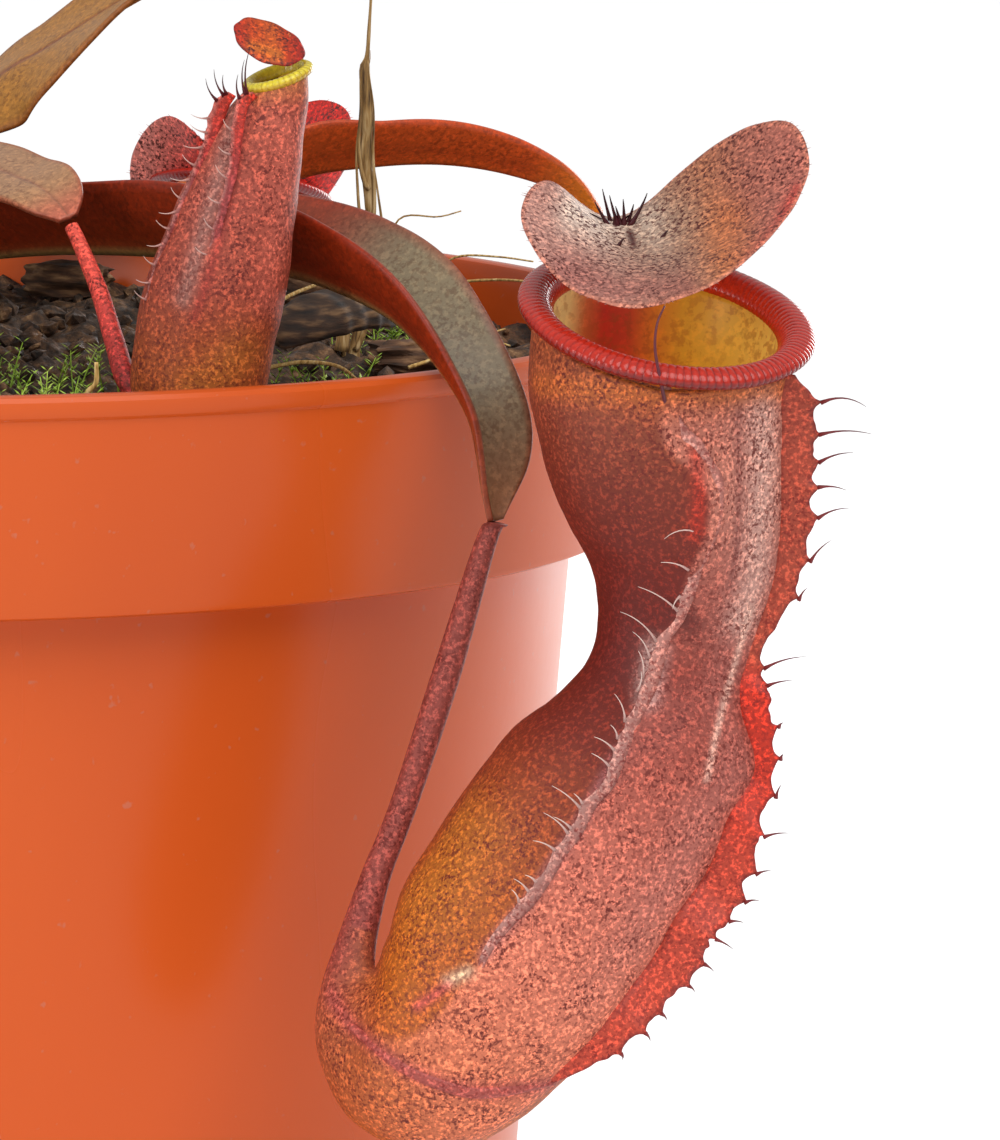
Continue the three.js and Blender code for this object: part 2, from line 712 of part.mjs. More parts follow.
const HANGING = [
  ['large', LARGE_HEADING, 0, 1, 0, false, 0x9c4434],
  ['back', BACK_HEADING, 0.4, 0.76, 0, true, 0xa04a40],
  ['left', LEFT_HEADING, 0.2, 0.76, 251, false, 0x9a4a34],
];
const cupGeometry = cup(true);
const plainCupGeometry = cup(false);
const rollGeometry = (ribs) => mouthRoll(MOUTH, MOUTH_ACROSS, MOUTH_ALONG, 1.9, 1.2, ribs);
const lidGeometry = lid();
for (const [name, heading, drop, scale, turn, mirrored, color] of HANGING) {
  const matrix = placement(heading, drop, scale, turn, mirrored);
  const isLarge = name === 'large';
  addPiece(`${name}_pitcher_cup`, placed(isLarge ? cupGeometry : plainCupGeometry, matrix), color, 0.5);
  addPiece(`${name}_pitcher_ring`, placed(rollGeometry(isLarge ? 36 : 15), matrix), 0xa8281e, 0.25);
  addPiece(`${name}_pitcher_lid`, placed(lidGeometry, matrix), 0xa8726a, 0.5);
}

// The small pitcher stands on the soil, fed by the short front leaf's tendril.
const SMALL_Y = -64;
const SMALL_BODY = [
  [38.2, 143.4, 45.2, 143.4],
  [34.8, 144.8, 47.5, 144.6],
  [33.2, 147.6, 48.2, 147.4],
  [33.5, 152.5, 48.9, 152],
  [34.2, 157, 49.9, 156.5],
  [35.5, 161.5, 50.6, 161.4],
  [37.2, 165.7, 51, 165.8],
  [39.1, 170.4, 51.5, 170.5],
  [41.2, 174.9, 51.9, 175],
  [43.5, 178.4, 52.3, 179],
  [45.5, 180, 52.4, 182.1],
].map((row) => [...row, SMALL_Y]);
const SMALL_TENDRIL = [
  vec(27, -47.6, 163.1),
  vec(28, -49, 161.6),
  vec(30, -53.5, 157),
  vec(31.6, -58.5, 151.9),
  vec(33, -62.5, 148),
  vec(36, SMALL_Y, 145.4),
];
const SMALL_TENDRIL_RADII = [0.7, 0.75, 0.85, 0.95, 1.1, 1.3];
const SMALL_MOUTH = vec(49, SMALL_Y, 182);
const SMALL_ACROSS = vec(3.15, 0, 1.05);
const SMALL_ALONG = vec(0, 3, 0.5);

function smallCup() {
  const rings = SMALL_BODY.map((row) => sectionRing(row, 0.9, 0, 14));
  const hollow = SMALL_BODY.slice(2).map((row, i) => {
    return sectionRing(row, 0.9, 0, 14, i === 0 ? 3 : CUP_WALL);
  });
  const top = ellipse(
    SMALL_MOUTH.clone().add(vec(0, 0, 2)),
    SMALL_ACROSS.clone().multiplyScalar(0.74),
    SMALL_ALONG.clone().multiplyScalar(0.74),
    14,
  );
  const tendril = taperedTube(SMALL_TENDRIL, SMALL_TENDRIL_RADII, 8);
  // Two wings run down the left front, and end in dark spines near the top.
  const spines = [];
  for (const [share, forward] of [
    [0.03, 3.4],
    [0.3, 5.6],
  ]) {
    for (let i = 2; i < SMALL_BODY.length - 1; i++) {
      const [ix, iz, ox, oz] = SMALL_BODY[i];
      const narrow = (ox - ix) / 15;
      const root = vec(mix(ix, ox, share), SMALL_Y - forward * narrow, mix(iz, oz, share));
      const direction = vec(-0.75, -0.6, 0.35).normalize();
      spines.push(spine(root, direction, 1 + 0.22 * i, 0.3, vec(0, 0, 0.5)));
    }
  }
  const solid = fused([loft(rings), tendril, ...spines]);
  return toGeometry(solid.subtract(toSolid(loft([...hollow, top]))));
}

function smallLid() {
  const sides = 16;
  const surface = (a, b) =>
    vec(47.9 + 3.9 * a, SMALL_Y - 0.3 - 2.8 * b, 185.7 - 1.1 * a - 2.1 * b + 0.35 * a * a);
  const point = (i, share) => {
    const angle = (2 * Math.PI * i) / sides;
    return surface(share * Math.cos(angle), share * Math.sin(angle));
  };
  const neck = taperedTube(
    [
      surface(0.5, -0.5),
      vec(51.3, -61.2, 185),
      vec(51.5, -59.3, 184.4),
      vec(51.5, -59.1, 182.4),
      vec(50.8, -60.6, 181.2),
    ],
    [0.6, 0.6, 0.55, 0.5, 0.45],
    6,
  );
  return toGeometry(fused([lidSheet(point, sides, 0.9), neck]));
}
addPiece('small_pitcher_cup', smallCup(), 0xa04a34, 0.55);
addPiece(
  'small_pitcher_ring',
  mouthRoll(SMALL_MOUTH.clone().sub(vec(0, 0, RING_LIFT)), SMALL_ACROSS, SMALL_ALONG, 0.75, 0.55, 12),
  0xd6c22c,
  0.35,
);
addPiece('small_pitcher_lid', smallLid(), 0xc0401c, 0.45);

// ---------------------------------------------------------------- things on the soil
function dryStick() {
  const [x, y] = STICK_AT;
  const path = [
    vec(x - 1, y, 132.5),
    vec(x, y, 140),
    vec(x + 1.6, y, 153),
    vec(x + 1, y, 166),
    vec(x, y, 176),
    vec(x + 0.9, y, 184),
    vec(x + 1.3, y, 191),
  ];
  return taperedTube(path, [1.1, 1.1, 1, 1.2, 1, 0.5, 0.3], 6);
}
addPiece('dry_stick', dryStick(), 0x7c5c34, 0.9);

// The unopened bud hangs by the tendril of the right-hand leaf, outside the pot.
function bud() {
  const heading = radians(20);
  const at = (s, z) => vec(s * Math.cos(heading), s * Math.sin(heading), z);
  const path = [at(98.9, 156.9), at(101.4, 150), at(102.4, 138), at(102, 126), at(103, 121), at(105.6, 121.5), at(107, 127), at(107.6, 134), at(107.4, 139), at(107, 141)];
  return taperedTube(path, [0.8, 0.85, 0.9, 1.1, 1.5, 2.4, 3, 2.8, 2, 0.8], 10);
}
addPiece('bud_with_tendril', bud(), 0x9a5a2c, 0.5);

// Chips of bark: squashed, turned boxes with broken corners, that lie on the soil.
function barkChip(x, y, length, width, height, degrees, seed) {
  const random = randomFrom(seed);
  const rings = [0, 0.35, 0.75, 1].map((t) => {
    const taper = t === 0 || t === 1 ? 0.6 : 1;
    return Array.from({ length: 6 }, (_, i) => {
      const angle = (Math.PI * i) / 3;
      const grow = taper * (0.8 + 0.35 * random());
      return vec(
        (t - 0.5) * length,
        (width / 2) * grow * Math.cos(angle),
        (height / 2) * grow * Math.sin(angle),
      );
    });
  });
  const geometry = loft(rings);
  geometry.rotateZ(radians(degrees));
  geometry.translate(x, y, soilHeight(x, y) + height / 2 + 1);
  return geometry;
}
const CHIPS = [
  [61, 58, 16, 8, 9, 133, 3],
  [14, -76, 11, 7, 5, 80, 5],
  [68, -6, 9, 6, 4.4, 20, 8],
  [-40, 50, 12, 7, 5.6, 110, 11],
  [-62, -28, 10, 6, 5, 60, 14],
  [30, 66, 10, 7, 5, 150, 17],
];
CHIPS.forEach((chip, i) => addPiece(`bark_chip_${i + 1}`, barkChip(...chip), 0x4a3322, 0.9));

// A black curled dead leaf lies in front of the stick.
function curledLeaf() {
  const rings = Array.from({ length: 7 }, (_, i) => {
    const t = i / 6;
    const width = 4.4 * Math.sin(Math.PI * (0.12 + 0.76 * t));
    const centre = vec(mix(50, 64, t), mix(-40, -17, t), 149.6 + 1.6 * Math.sin(Math.PI * t));
    const arc = Array.from({ length: 5 }, (_, k) => {
      const angle = radians(mix(-15, 195, k / 4));
      return [Math.cos(angle), Math.sin(angle)];
    });
    const across = vec(0.85, -0.52, 0);
    const point = (radius, [c, s]) => centre.clone().addScaledVector(across, radius * c).add(vec(0, 0, radius * s * 0.8));
    return [
      ...arc.map((direction) => point(width, direction)),
      ...[...arc].reverse().map((direction) => point(width - 0.9, direction)),
    ];
  });
  return loft(rings, false, true);
}
addPiece('curled_dead_leaf', curledLeaf(), 0x2a1e17, 0.8);

export default plant;
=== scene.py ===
# %% [markdown]
# # A pitcher plant in a nursery pot
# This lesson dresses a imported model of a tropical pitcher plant. The model gives every piece its
# place and size, in metres, with +Z up and the pot's base at the origin. Each step below replaces
# plain solids by finer pieces of the same form, and gives each one a material of its own.

import math

import bpy
import numpy as np
from mathutils import Matrix, Vector, noise


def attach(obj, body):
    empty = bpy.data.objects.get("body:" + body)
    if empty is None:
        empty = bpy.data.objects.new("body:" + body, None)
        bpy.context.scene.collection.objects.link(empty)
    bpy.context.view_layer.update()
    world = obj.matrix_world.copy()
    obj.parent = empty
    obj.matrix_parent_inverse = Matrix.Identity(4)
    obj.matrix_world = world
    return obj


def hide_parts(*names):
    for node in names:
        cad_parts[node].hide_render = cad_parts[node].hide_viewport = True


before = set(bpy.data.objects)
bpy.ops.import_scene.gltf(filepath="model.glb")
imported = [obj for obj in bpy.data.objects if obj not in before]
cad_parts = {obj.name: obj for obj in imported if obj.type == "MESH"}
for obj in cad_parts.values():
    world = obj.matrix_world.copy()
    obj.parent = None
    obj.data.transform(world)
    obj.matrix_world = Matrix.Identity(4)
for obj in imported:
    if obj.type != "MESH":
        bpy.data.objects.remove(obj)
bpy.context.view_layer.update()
MM = 0.001
print("nodes:", len(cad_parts))

# %% [markdown]
# ## Small helpers
# Colours are written as the hex values that a paint program shows, so one function turns them to
# the linear light that shaders work in. Most living pieces are skins over a row of rings, so one
# function makes such a mesh, with a UV map and, if wanted, a painted tint at each point. Blender's
# own tools make the pot, the bark and the soil crumbs, which start from primitives.

# %% Colour, curves and skins
def linear(code):
    """A hex colour such as 'D66A3C' as a linear RGB array."""
    srgb = np.array([int(code[i : i + 2], 16) for i in (0, 2, 4)]) / 255
    return np.where(srgb <= 0.04045, srgb / 12.92, ((srgb + 0.055) / 1.055) ** 2.4)


def blend(stops, at):
    """Colours along a line: stops is [(place, hex), ...] and at is an array of places."""
    places = [place for place, _ in stops]
    colors = np.array([linear(code) for _, code in stops])
    return np.stack([np.interp(at, places, colors[:, k]) for k in range(3)], -1)


def fade(low, high, at):
    """0 under low, 1 over high, and smooth in between."""
    t = np.clip((np.asarray(at, float) - low) / (high - low), 0, 1)
    return t * t * (3 - 2 * t)


def peak(at, width):
    """1 at zero, and less to both sides, within about a width."""
    return np.exp(-((at / width) ** 2))


def mixed(a, b, share):
    """Colour a turned to colour b by a share at each point."""
    share = np.asarray(share)[..., None]
    return a * (1 - share) + b * share


def round_angles(count):
    """count angles, evenly round a full turn."""
    return np.arange(count) * 2 * math.pi / count


def wrapped(angles):
    return np.arctan2(np.sin(angles), np.cos(angles))


def smooth_rows(rows, count):
    """count rows on a smooth curve through the given ones, evenly spread by the first 3 columns."""
    rows = np.asarray(rows, float)
    ends = np.vstack([2 * rows[0] - rows[1], rows, 2 * rows[-1] - rows[-2]])
    step = np.linalg.norm(np.diff(rows[:, :3], axis=0), axis=1)
    place = np.concatenate([[0], np.cumsum(step)])
    wanted = np.linspace(0, place[-1], count)
    index = np.clip(np.searchsorted(place, wanted, side="right") - 1, 0, len(rows) - 2)
    t = ((wanted - place[index]) / step[index])[:, None]
    a, b, c, d = (ends[index + k] for k in range(4))
    return 0.5 * (2 * b + (c - a) * t + (2 * a - 5 * b + 4 * c - d) * t**2 + (3 * b - a - 3 * c + d) * t**3)


def unit(v):
    return v / np.maximum(np.linalg.norm(v, axis=-1, keepdims=True), 1e-9)


def wobble(points, size, seed=0.0):
    """Smooth noise at points in millimetres, whose lumps are about size millimetres."""
    shift = Vector((seed, -seed, 2.3 * seed))
    flat = points.reshape(-1, 3) / size
    return np.array([noise.noise(Vector(p) + shift) for p in flat]).reshape(points.shape[:-1])


# %% Meshes from rings
def quads(rows, columns, closed):
    """The faces between neighbouring rings; the last ring meets the first one if closed."""
    rings = np.arange(rows if closed else rows - 1)
    i, j = (g.ravel() for g in np.meshgrid(rings, np.arange(columns), indexing="ij"))
    k, m = (i + 1) % rows, (j + 1) % columns
    return np.stack([i * columns + j, i * columns + m, k * columns + m, k * columns + j], -1)


def volume_of(points, faces):
    a, b, c, d = (points[faces[:, k]] for k in range(4))
    return (np.einsum("ij,ij->i", a, np.cross(b, c)) + np.einsum("ij,ij->i", a, np.cross(c, d))).sum()


def skin(rings, closed=False):
    """Points (in mm), faces and UVs of a skin over rings of equal counts, with capped ends."""
    rings = np.asarray(rings, float)
    rows, columns = rings.shape[:2]
    points = rings.reshape(-1, 3)
    faces = quads(rows, columns, closed)
    uv = np.stack(np.meshgrid(np.linspace(0, 1, rows), np.linspace(0, 1, columns), indexing="ij"), -1)
    caps = []
    if not closed:
        caps = [list(range(columns))[::-1], list(range((rows - 1) * columns, rows * columns))]
    if volume_of(points, faces) < 0:
        faces = faces[:, ::-1]
        caps = [cap[::-1] for cap in caps]
    return points, [list(map(int, f)) for f in faces] + caps, uv.reshape(-1, 2)[:, ::-1]


def add_mesh(name, points, faces, uv=None, tint=None, faceted=False):
    """A mesh object from points in mm, with an optional tint painted at its points."""
    mesh = bpy.data.meshes.new(name)
    mesh.from_pydata((np.asarray(points) * MM).tolist(), [], faces)
    if uv is not None:
        layer = mesh.uv_layers.new(name="along")
        corners = np.zeros(len(mesh.loops), int)
        mesh.loops.foreach_get("vertex_index", corners)
        layer.data.foreach_set("uv", uv[corners].astype(np.float32).ravel())
    if tint is not None:
        layer = mesh.color_attributes.new("tint", "FLOAT_COLOR", "POINT")
        rgba = np.ones((len(points), 4), np.float32)
        rgba[:, :3] = tint
        layer.data.foreach_set("color", rgba.ravel())
    if not faceted:
        mesh.shade_smooth()
    mesh.validate()
    piece = bpy.data.objects.new(name, mesh)
    bpy.context.collection.objects.link(piece)
    return piece


def merged(parts):
    """Several (points, faces) or (points, faces, tint) joined to one set, for one mesh."""
    points, faces, tints, start = [], [], [], 0
    for part_points, part_faces, *part_tint in parts:
        points.append(part_points)
        faces += [[start + k for k in face] for face in part_faces]
        tints += [np.broadcast_to(tint, (len(part_points), 3)) for tint in part_tint]
        start += len(part_points)
    return np.vstack(points), faces, np.vstack(tints) if tints else None


def tube(path, radii, sides=5):
    """Points and faces of a tapering tube along a path in mm."""
    path = np.asarray(path, float)
    tangent = unit(np.gradient(path, axis=0))
    side = np.array([0.31, 0.95, 0.11])
    rings = []
    angles = round_angles(sides)
    for point, along, radius in zip(path, tangent, radii):
        side = unit(side - along * side.dot(along))
        other = np.cross(along, side)
        rings.append(point + radius * (np.outer(np.cos(angles), side) + np.outer(np.sin(angles), other)))
    return skin(rings)[:2]


def toned_tube(path, radii, sides, stops):
    """A tube whose colour runs along it from stop to stop, or is the same all over for one stop."""
    return (*tube(path, radii, sides), blend(stops, np.repeat(np.linspace(0, 1, len(path)), sides)))


def dress(piece, material, slot, *nodes):
    """A finished piece: its material, the body it rides on, and the nodes it stands for."""
    if material is not None:
        piece.data.materials.append(material)
    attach(piece, "root")
    if nodes:
        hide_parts(*nodes)
    print(piece.name, len(piece.data.polygons), "faces")


def build(name, parts, material, slot, *nodes, faceted=False):
    """One dressed piece from several parts, as merged takes them."""
    points, faces, tint = merged(parts)
    dress(add_mesh(name, points, faces, tint=tint, faceted=faceted), material, slot, *nodes)


# %% [markdown]
# ## Camera, floor and light
# The photograph was taken with a long lens from a little above the rim, and the plant stands
# before pure white. So the floor is a plain white sheet. A wide sun lights the plant from the
# front right, and two weak panels brighten its sides. A long lens is a narrow angle, which `lens`
# sets in millimetres.

# %% Camera
EYE = Vector((0, -1.0473, 0.2656))
PITCH, YAW, ROLL = (math.radians(a) for a in (7.97, 4.32, 0.92))
FOCAL_PIXELS = 9000
PHOTO_SIZE = (1000, 1140)

view = Vector((math.sin(YAW) * math.cos(PITCH), math.cos(YAW) * math.cos(PITCH), -math.sin(PITCH)))
level = Vector((math.cos(YAW), -math.sin(YAW), 0))
upright = level.cross(view)
right = level * math.cos(ROLL) + upright * math.sin(ROLL)
up = upright * math.cos(ROLL) - level * math.sin(ROLL)

bpy.ops.object.camera_add()
camera = bpy.context.object
camera.name = "camera"
camera.matrix_world = Matrix.Translation(EYE) @ Matrix((right, up, -view)).transposed().to_4x4()
camera.data.sensor_width = 36
camera.data.lens = FOCAL_PIXELS / max(PHOTO_SIZE) * camera.data.sensor_width
camera.data.clip_end = 50
bpy.context.scene.camera = camera

# %% Nodes
def feed(tree, node, inputs):
    """Sets a node's inputs: each one is a plain value, or a socket to link from."""
    for key, value in inputs.items():
        if isinstance(value, bpy.types.NodeSocket):
            tree.links.new(value, node.inputs[key])
        else:
            node.inputs[key].default_value = value


def rgba(code):
    return (*linear(code), 1)


def add_node(tree, kind, inputs, result=0, stops=(), **settings):
    """Adds one node with its options, its inputs and a colour ramp's stops, and gives its result."""
    node = tree.nodes.new("ShaderNode" + kind)
    for key, value in settings.items():
        setattr(node, key, value)
    feed(tree, node, inputs)
    for i, (place, code) in enumerate(stops):
        elements = node.color_ramp.elements
        element = elements[i] if i < len(elements) else elements.new(place)
        element.position, element.color = place, rgba(code)
    return node.outputs[result]


def new_material(name):
    """A material, its tree and shader, and the place of each point in object coordinates."""
    material = bpy.data.materials.new(name)
    material.use_nodes = True
    tree = material.node_tree
    place = add_node(tree, "TexCoord", {}, "Object")
    return material, tree, tree.nodes["Principled BSDF"], place


# %% Floor
def floor_paper():
    material, tree, shader, place = new_material("white_paper_sweep")
    grain = add_node(tree, "TexNoise", {"Vector": place, "Scale": 40.0})
    tone = add_node(tree, "ValToRGB", {"Fac": grain}, stops=[(0.3, "FDFDFD"), (0.7, "FFFFFF")])
    feed(tree, shader, {"Base Color": tone, "Roughness": 0.9})
    return material


bpy.ops.mesh.primitive_plane_add(size=30, location=(0, 8, 0))
floor = bpy.context.object
floor.name = "floor"
floor.data.materials.append(floor_paper())

# %% Light
world = bpy.data.worlds.new("white_room")
world.use_nodes = True
feed(world.node_tree, world.node_tree.nodes["Background"], {"Color": (1, 1, 1, 1), "Strength": 0.52})
bpy.context.scene.world = world
# The plain sRGB view keeps each hex value as it is under full light.
bpy.context.scene.view_settings.view_transform = "Standard"


def soft_light(kind, name, place, aim, power, **settings):
    """A lamp that shines from a place to its aim; a sun uses only the direction."""
    bpy.ops.object.light_add(type=kind, location=place)
    lamp = bpy.context.object
    lamp.name = name
    lamp.data.energy = power
    for key, value in settings.items():
        setattr(lamp.data, key, value)
    lamp.rotation_euler = (Vector(aim) - Vector(place)).to_track_quat("-Z", "Y").to_euler()


soft_light("SUN", "key_light", (0.35, -1.0, 1.35), (0, 0, 0), 2.1, angle=math.radians(55))
for name, place, aim, size, watts in (
    ("right_panel", (0.7, 0.85, 0.25), (0.08, 0, 0.1), (0.3, 0.6), 5),
    ("left_panel", (-0.9, -0.7, 0.5), (0.05, 0, 0.12), (0.4, 0.8), 4),
):
    soft_light("AREA", name, place, aim, watts, shape="RECTANGLE", size=size[0], size_y=size[1])

# %% [markdown]
# ## Living tissue
# All of the plant's own pieces share one kind of finish: a waxy skin over flesh that holds red
# pigment in fine flecks. The broad colours are painted at the points of each mesh, and the shader
# adds the flecks, which lie about 0.4 mm apart, at one size on every piece.

# %% Tissue material
def tissue(name, dark, pale, fleck_mm, dark_share, pale_share, roughness, pits=0.25, coat=0.0, glow=0.0):
    """Waxy leaf or pitcher skin: a painted tint, broken by dark flecks and ones pale times lighter."""
    material, tree, shader, place = new_material(name)
    scale = 1 / (fleck_mm * MM)
    shifted = add_node(tree, "Mapping", {"Vector": place, "Location": (0.7, 0.3, 0.5)})
    # One noise gives the dark flecks, one the pale flecks, and a broad one the patches.
    fine, other, broad = (
        add_node(tree, "TexNoise", {"Vector": spot, "Scale": size, "Detail": detail, "Roughness": rough})
        for spot, size, detail, rough in (
            (place, scale, 3.0, 0.65), (shifted, scale * 0.8, 3.0, 0.6), (place, scale / 9, 2.0, 0.5),
        )
    )
    dark_mask, pale_mask, patch = (
        add_node(
            tree, "MapRange",
            {"Value": source, "From Min": low, "From Max": high, "To Min": least, "To Max": most},
        )
        for source, low, high, least, most in (
            (fine, 0.49, 0.59, 0, dark_share), (other, 0.50, 0.61, 0, pale_share),
            (broad, 0.35, 0.65, 0.55, 1.25),
        )
    )
    darkness = add_node(tree, "Math", {0: dark_mask, 1: patch}, operation="MULTIPLY", use_clamp=True)
    tint = add_node(tree, "Attribute", {}, attribute_name="tint")
    # A mix node's colours are its sockets 6 and 7, and its result is 2.
    fleck = (pale, pale * 0.97, pale * 0.92, 1)
    lighter = add_node(
        tree, "Mix", {"Factor": pale_mask, 6: tint, 7: fleck}, 2, data_type="RGBA", blend_type="MULTIPLY"
    )
    flecked = add_node(tree, "Mix", {"Factor": darkness, 6: lighter, 7: rgba(dark)}, 2, data_type="RGBA")
    bumps = add_node(tree, "Bump", {"Height": fine, "Strength": pits, "Distance": 0.0002})
    # Thin walls let a little of the daylight through, which a faint glow stands for.
    feed(tree, shader, {
        "Base Color": flecked, "Emission Color": flecked, "Emission Strength": glow,
        "Normal": bumps, "Roughness": roughness, "IOR": 1.42,
        "Coat Weight": coat, "Coat Roughness": 0.12, "Specular IOR Level": 0.35,
    })
    return material


# The cup: matt skin, peppered with dark red and with paler dots.
CUP_SKIN = tissue("pitcher_skin", "62201A", 2.1, 0.42, 0.78, 0.9, 0.55, 0.35)
# The wings: thin, bright red tissue with orange flecks.
WING_SKIN = tissue("wing_skin", "6E1412", 2.2, 0.42, 0.65, 0.9, 0.45)
# The inside: pale yellow wax with brown flecks, and a faint painted glow for daylight through the wall.
INNER_SKIN = tissue("waxy_inner_wall", "9A4414", 1.3, 1.1, 0.4, 0.5, 0.35, 0.1, glow=0.2)
# The mouth ring: hard, wet-looking and glossy.
RING_SKIN = tissue("glossy_mouth_ring", "5E0C10", 1.4, 0.4, 0.25, 0.4, 0.22, 0.1, 0.35)
# The lid: the same flecks as the cup, larger and darker.
LID_SKIN = tissue("lid_skin", "4E1C18", 1.9, 0.46, 0.95, 0.9, 0.5, 0.35)
# Hairs: smooth spines with few flecks.
HAIR_SKIN = tissue("hair_skin", "3A1218", 1.2, 0.4, 0.15, 0.2, 0.35, 0.0)
# Leaves: leathery blades with a satin wax.
LEAF_SKIN = tissue("leathery_leaf", "4A1A0A", 1.6, 0.6, 0.35, 0.5, 0.38, 0.2, 0.06)

# %% [markdown]
# ## The pot
# A nursery pot is moulded from thin glossy plastic: a tapered wall, a thick rim band with a small
# lip, and drain holes in its floor. It is turned, so a circle is extruded and widened step by step
# along the outer profile and back down the inner one, as a potter would draw up clay.

# %% Pot plastic
def pot_plastic():
    """Moulded polypropylene: a soft gloss, faint flow marks, orange peel and specks of dust."""
    material, tree, shader, place = new_material("moulded_polypropylene")
    drawn_out = add_node(tree, "Mapping", {"Vector": place, "Scale": (18, 18, 3)})
    marks = add_node(tree, "TexNoise", {"Vector": drawn_out, "Scale": 1.0, "Detail": 3.0})
    base = add_node(tree, "ValToRGB", {"Fac": marks}, stops=[(0.3, "C04C18"), (0.7, "CA561E")])
    gloss = {"Value": marks, "From Min": 0.3, "From Max": 0.7, "To Min": 0.2, "To Max": 0.3}
    dust = add_node(tree, "TexNoise", {"Vector": place, "Scale": 700.0})
    specks = add_node(tree, "MapRange", {"Value": dust, "From Min": 0.70, "From Max": 0.76, "To Max": 0.5})
    peel = add_node(tree, "TexNoise", {"Vector": place, "Scale": 350.0})
    dusty = {"Factor": specks, 6: base, 7: rgba("B5705A")}
    # The studio's white floor would wash the wall out, so the reflection is weakened.
    feed(tree, shader, {
        "Base Color": add_node(tree, "Mix", dusty, 2, data_type="RGBA"),
        "Roughness": add_node(tree, "MapRange", gloss),
        "Normal": add_node(tree, "Bump", {"Height": peel, "Strength": 0.04, "Distance": 0.0005}),
        "IOR": 1.49, "Specular IOR Level": 0.25,
    })
    return material


POT_PLASTIC = pot_plastic()

# %% Pot shape
RIM_RADIUS, BAND_FOOT = 95.0, 125.4
# Radius and height in mm, up the outside, over the lip and down the inside.
POT_PROFILE = [
    (76.6, 0), (77.6, 0.4), (78.5, 3), (87.2, BAND_FOOT - 0.3), (87.6, BAND_FOOT), (92.6, BAND_FOOT),
    (93.2, BAND_FOOT + 0.3), (93.4, BAND_FOOT + 0.9), (95, 147.2), (95.5, 147.6), (95.8, 148.3),
    (95.8, 149.3), (95.5, 149.8), (95, 150), (93.7, 150), (93.3, 149.8), (93.1, 149.3),
    (92.2, 128.4), (91.6, 127.9), (86.1, 126.9), (85.6, 126.4), (77, 4.2), (76.2, 2.8), (75.2, 2.2),
]


def select_none():
    bpy.ops.object.select_all(action="DESELECT")


def turned(name, profile, sides):
    """A circle at the profile's first (radius, height) in mm, drawn up along the rest of it."""
    (radius, height), *steps = profile
    select_none()
    bpy.ops.mesh.primitive_circle_add(
        vertices=sides, radius=radius * MM, fill_type="NGON", location=(0, 0, height * MM)
    )
    piece = bpy.context.object
    piece.name = piece.data.name = name
    bpy.ops.object.transform_apply(location=True)
    bpy.ops.object.mode_set(mode="EDIT")
    bpy.ops.mesh.select_all(action="SELECT")
    for next_radius, next_height in steps:
        rise = (next_height - height) * MM
        bpy.ops.mesh.extrude_region_move(TRANSFORM_OT_translate={"value": (0, 0, rise)})
        grow = next_radius / radius
        bpy.ops.transform.resize(value=(grow, grow, 1))
        radius, height = next_radius, next_height
    bpy.ops.mesh.select_all(action="SELECT")
    bpy.ops.mesh.normals_make_consistent(inside=False)
    bpy.ops.object.mode_set(mode="OBJECT")
    return piece


pot = turned("pot_shell", POT_PROFILE, 192)

# %% Drain holes
# In metres, like all of Blender's own primitives.
DRAIN_HOLES, DRAIN_CIRCLE, DRAIN_RADIUS = 6, 0.052, 0.0045
select_none()
drills = []
for i in range(DRAIN_HOLES):
    angle = math.radians(360 / DRAIN_HOLES * i)
    spot = (DRAIN_CIRCLE * math.cos(angle), DRAIN_CIRCLE * math.sin(angle), 0.001)
    bpy.ops.mesh.primitive_cylinder_add(vertices=32, radius=DRAIN_RADIUS, depth=0.008, location=spot)
    drills.append(bpy.context.object)
for drill in drills:
    drill.select_set(True)
bpy.context.view_layer.objects.active = drills[0]
bpy.ops.object.join()
drill = bpy.context.object
select_none()
bpy.context.view_layer.objects.active = pot
cut = pot.modifiers.new("drains", "BOOLEAN")
cut.object = drill
cut.operation = "DIFFERENCE"
bpy.ops.object.modifier_apply(modifier="drains")
bpy.data.objects.remove(drill)
pot.select_set(True)
bpy.ops.object.shade_smooth_by_angle(angle=math.radians(28))
dress(pot, POT_PLASTIC, "pot_plastic", "pot")

# %% [markdown]
# ## The soil
# The mix is dark peat with paler fibres and wet glints. Its top is a fine disc of rings, pushed up
# and down by noise, with hundreds of crumbs half sunk in it. The disc follows the pot's wall just
# inside it, and a dark side and base close it.

# %% Soil material
def peat():
    """Moist peat: dark brown and rough, with wet glints and paler fibres."""
    material, tree, shader, place = new_material("moist_peat")
    grain = add_node(tree, "TexNoise", {"Vector": place, "Scale": 420.0, "Detail": 6.0, "Roughness": 0.7})
    tones = [(0.36, "1C130C"), (0.5, "463222"), (0.6, "705034"), (0.72, "B08C64")]
    wet = add_node(tree, "TexNoise", {"Vector": place, "Scale": 900.0})
    gloss = {"Value": wet, "From Min": 0.5, "From Max": 0.68, "To Min": 0.9, "To Max": 0.3}
    feed(tree, shader, {
        "Base Color": add_node(tree, "ValToRGB", {"Fac": grain}, stops=tones),
        "Roughness": add_node(tree, "MapRange", gloss),
        "Normal": add_node(tree, "Bump", {"Height": grain, "Strength": 0.9, "Distance": 0.0008}),
    })
    return material


PEAT = peat()

# %% Soil shape
SOIL_TOP, SOIL_ROUGHNESS = 141.5, 2.2


def soil_height(x, y):
    """The same field of lumps as the solid's, in millimetres."""
    lumps = 0.55 * np.sin(0.19 * x + 1) * np.cos(0.23 * y) + 0.45 * np.sin(0.41 * x - 0.37 * y)
    return SOIL_TOP + SOIL_ROUGHNESS * lumps + 2 * (1 - np.hypot(x, y) / RIM_RADIUS)


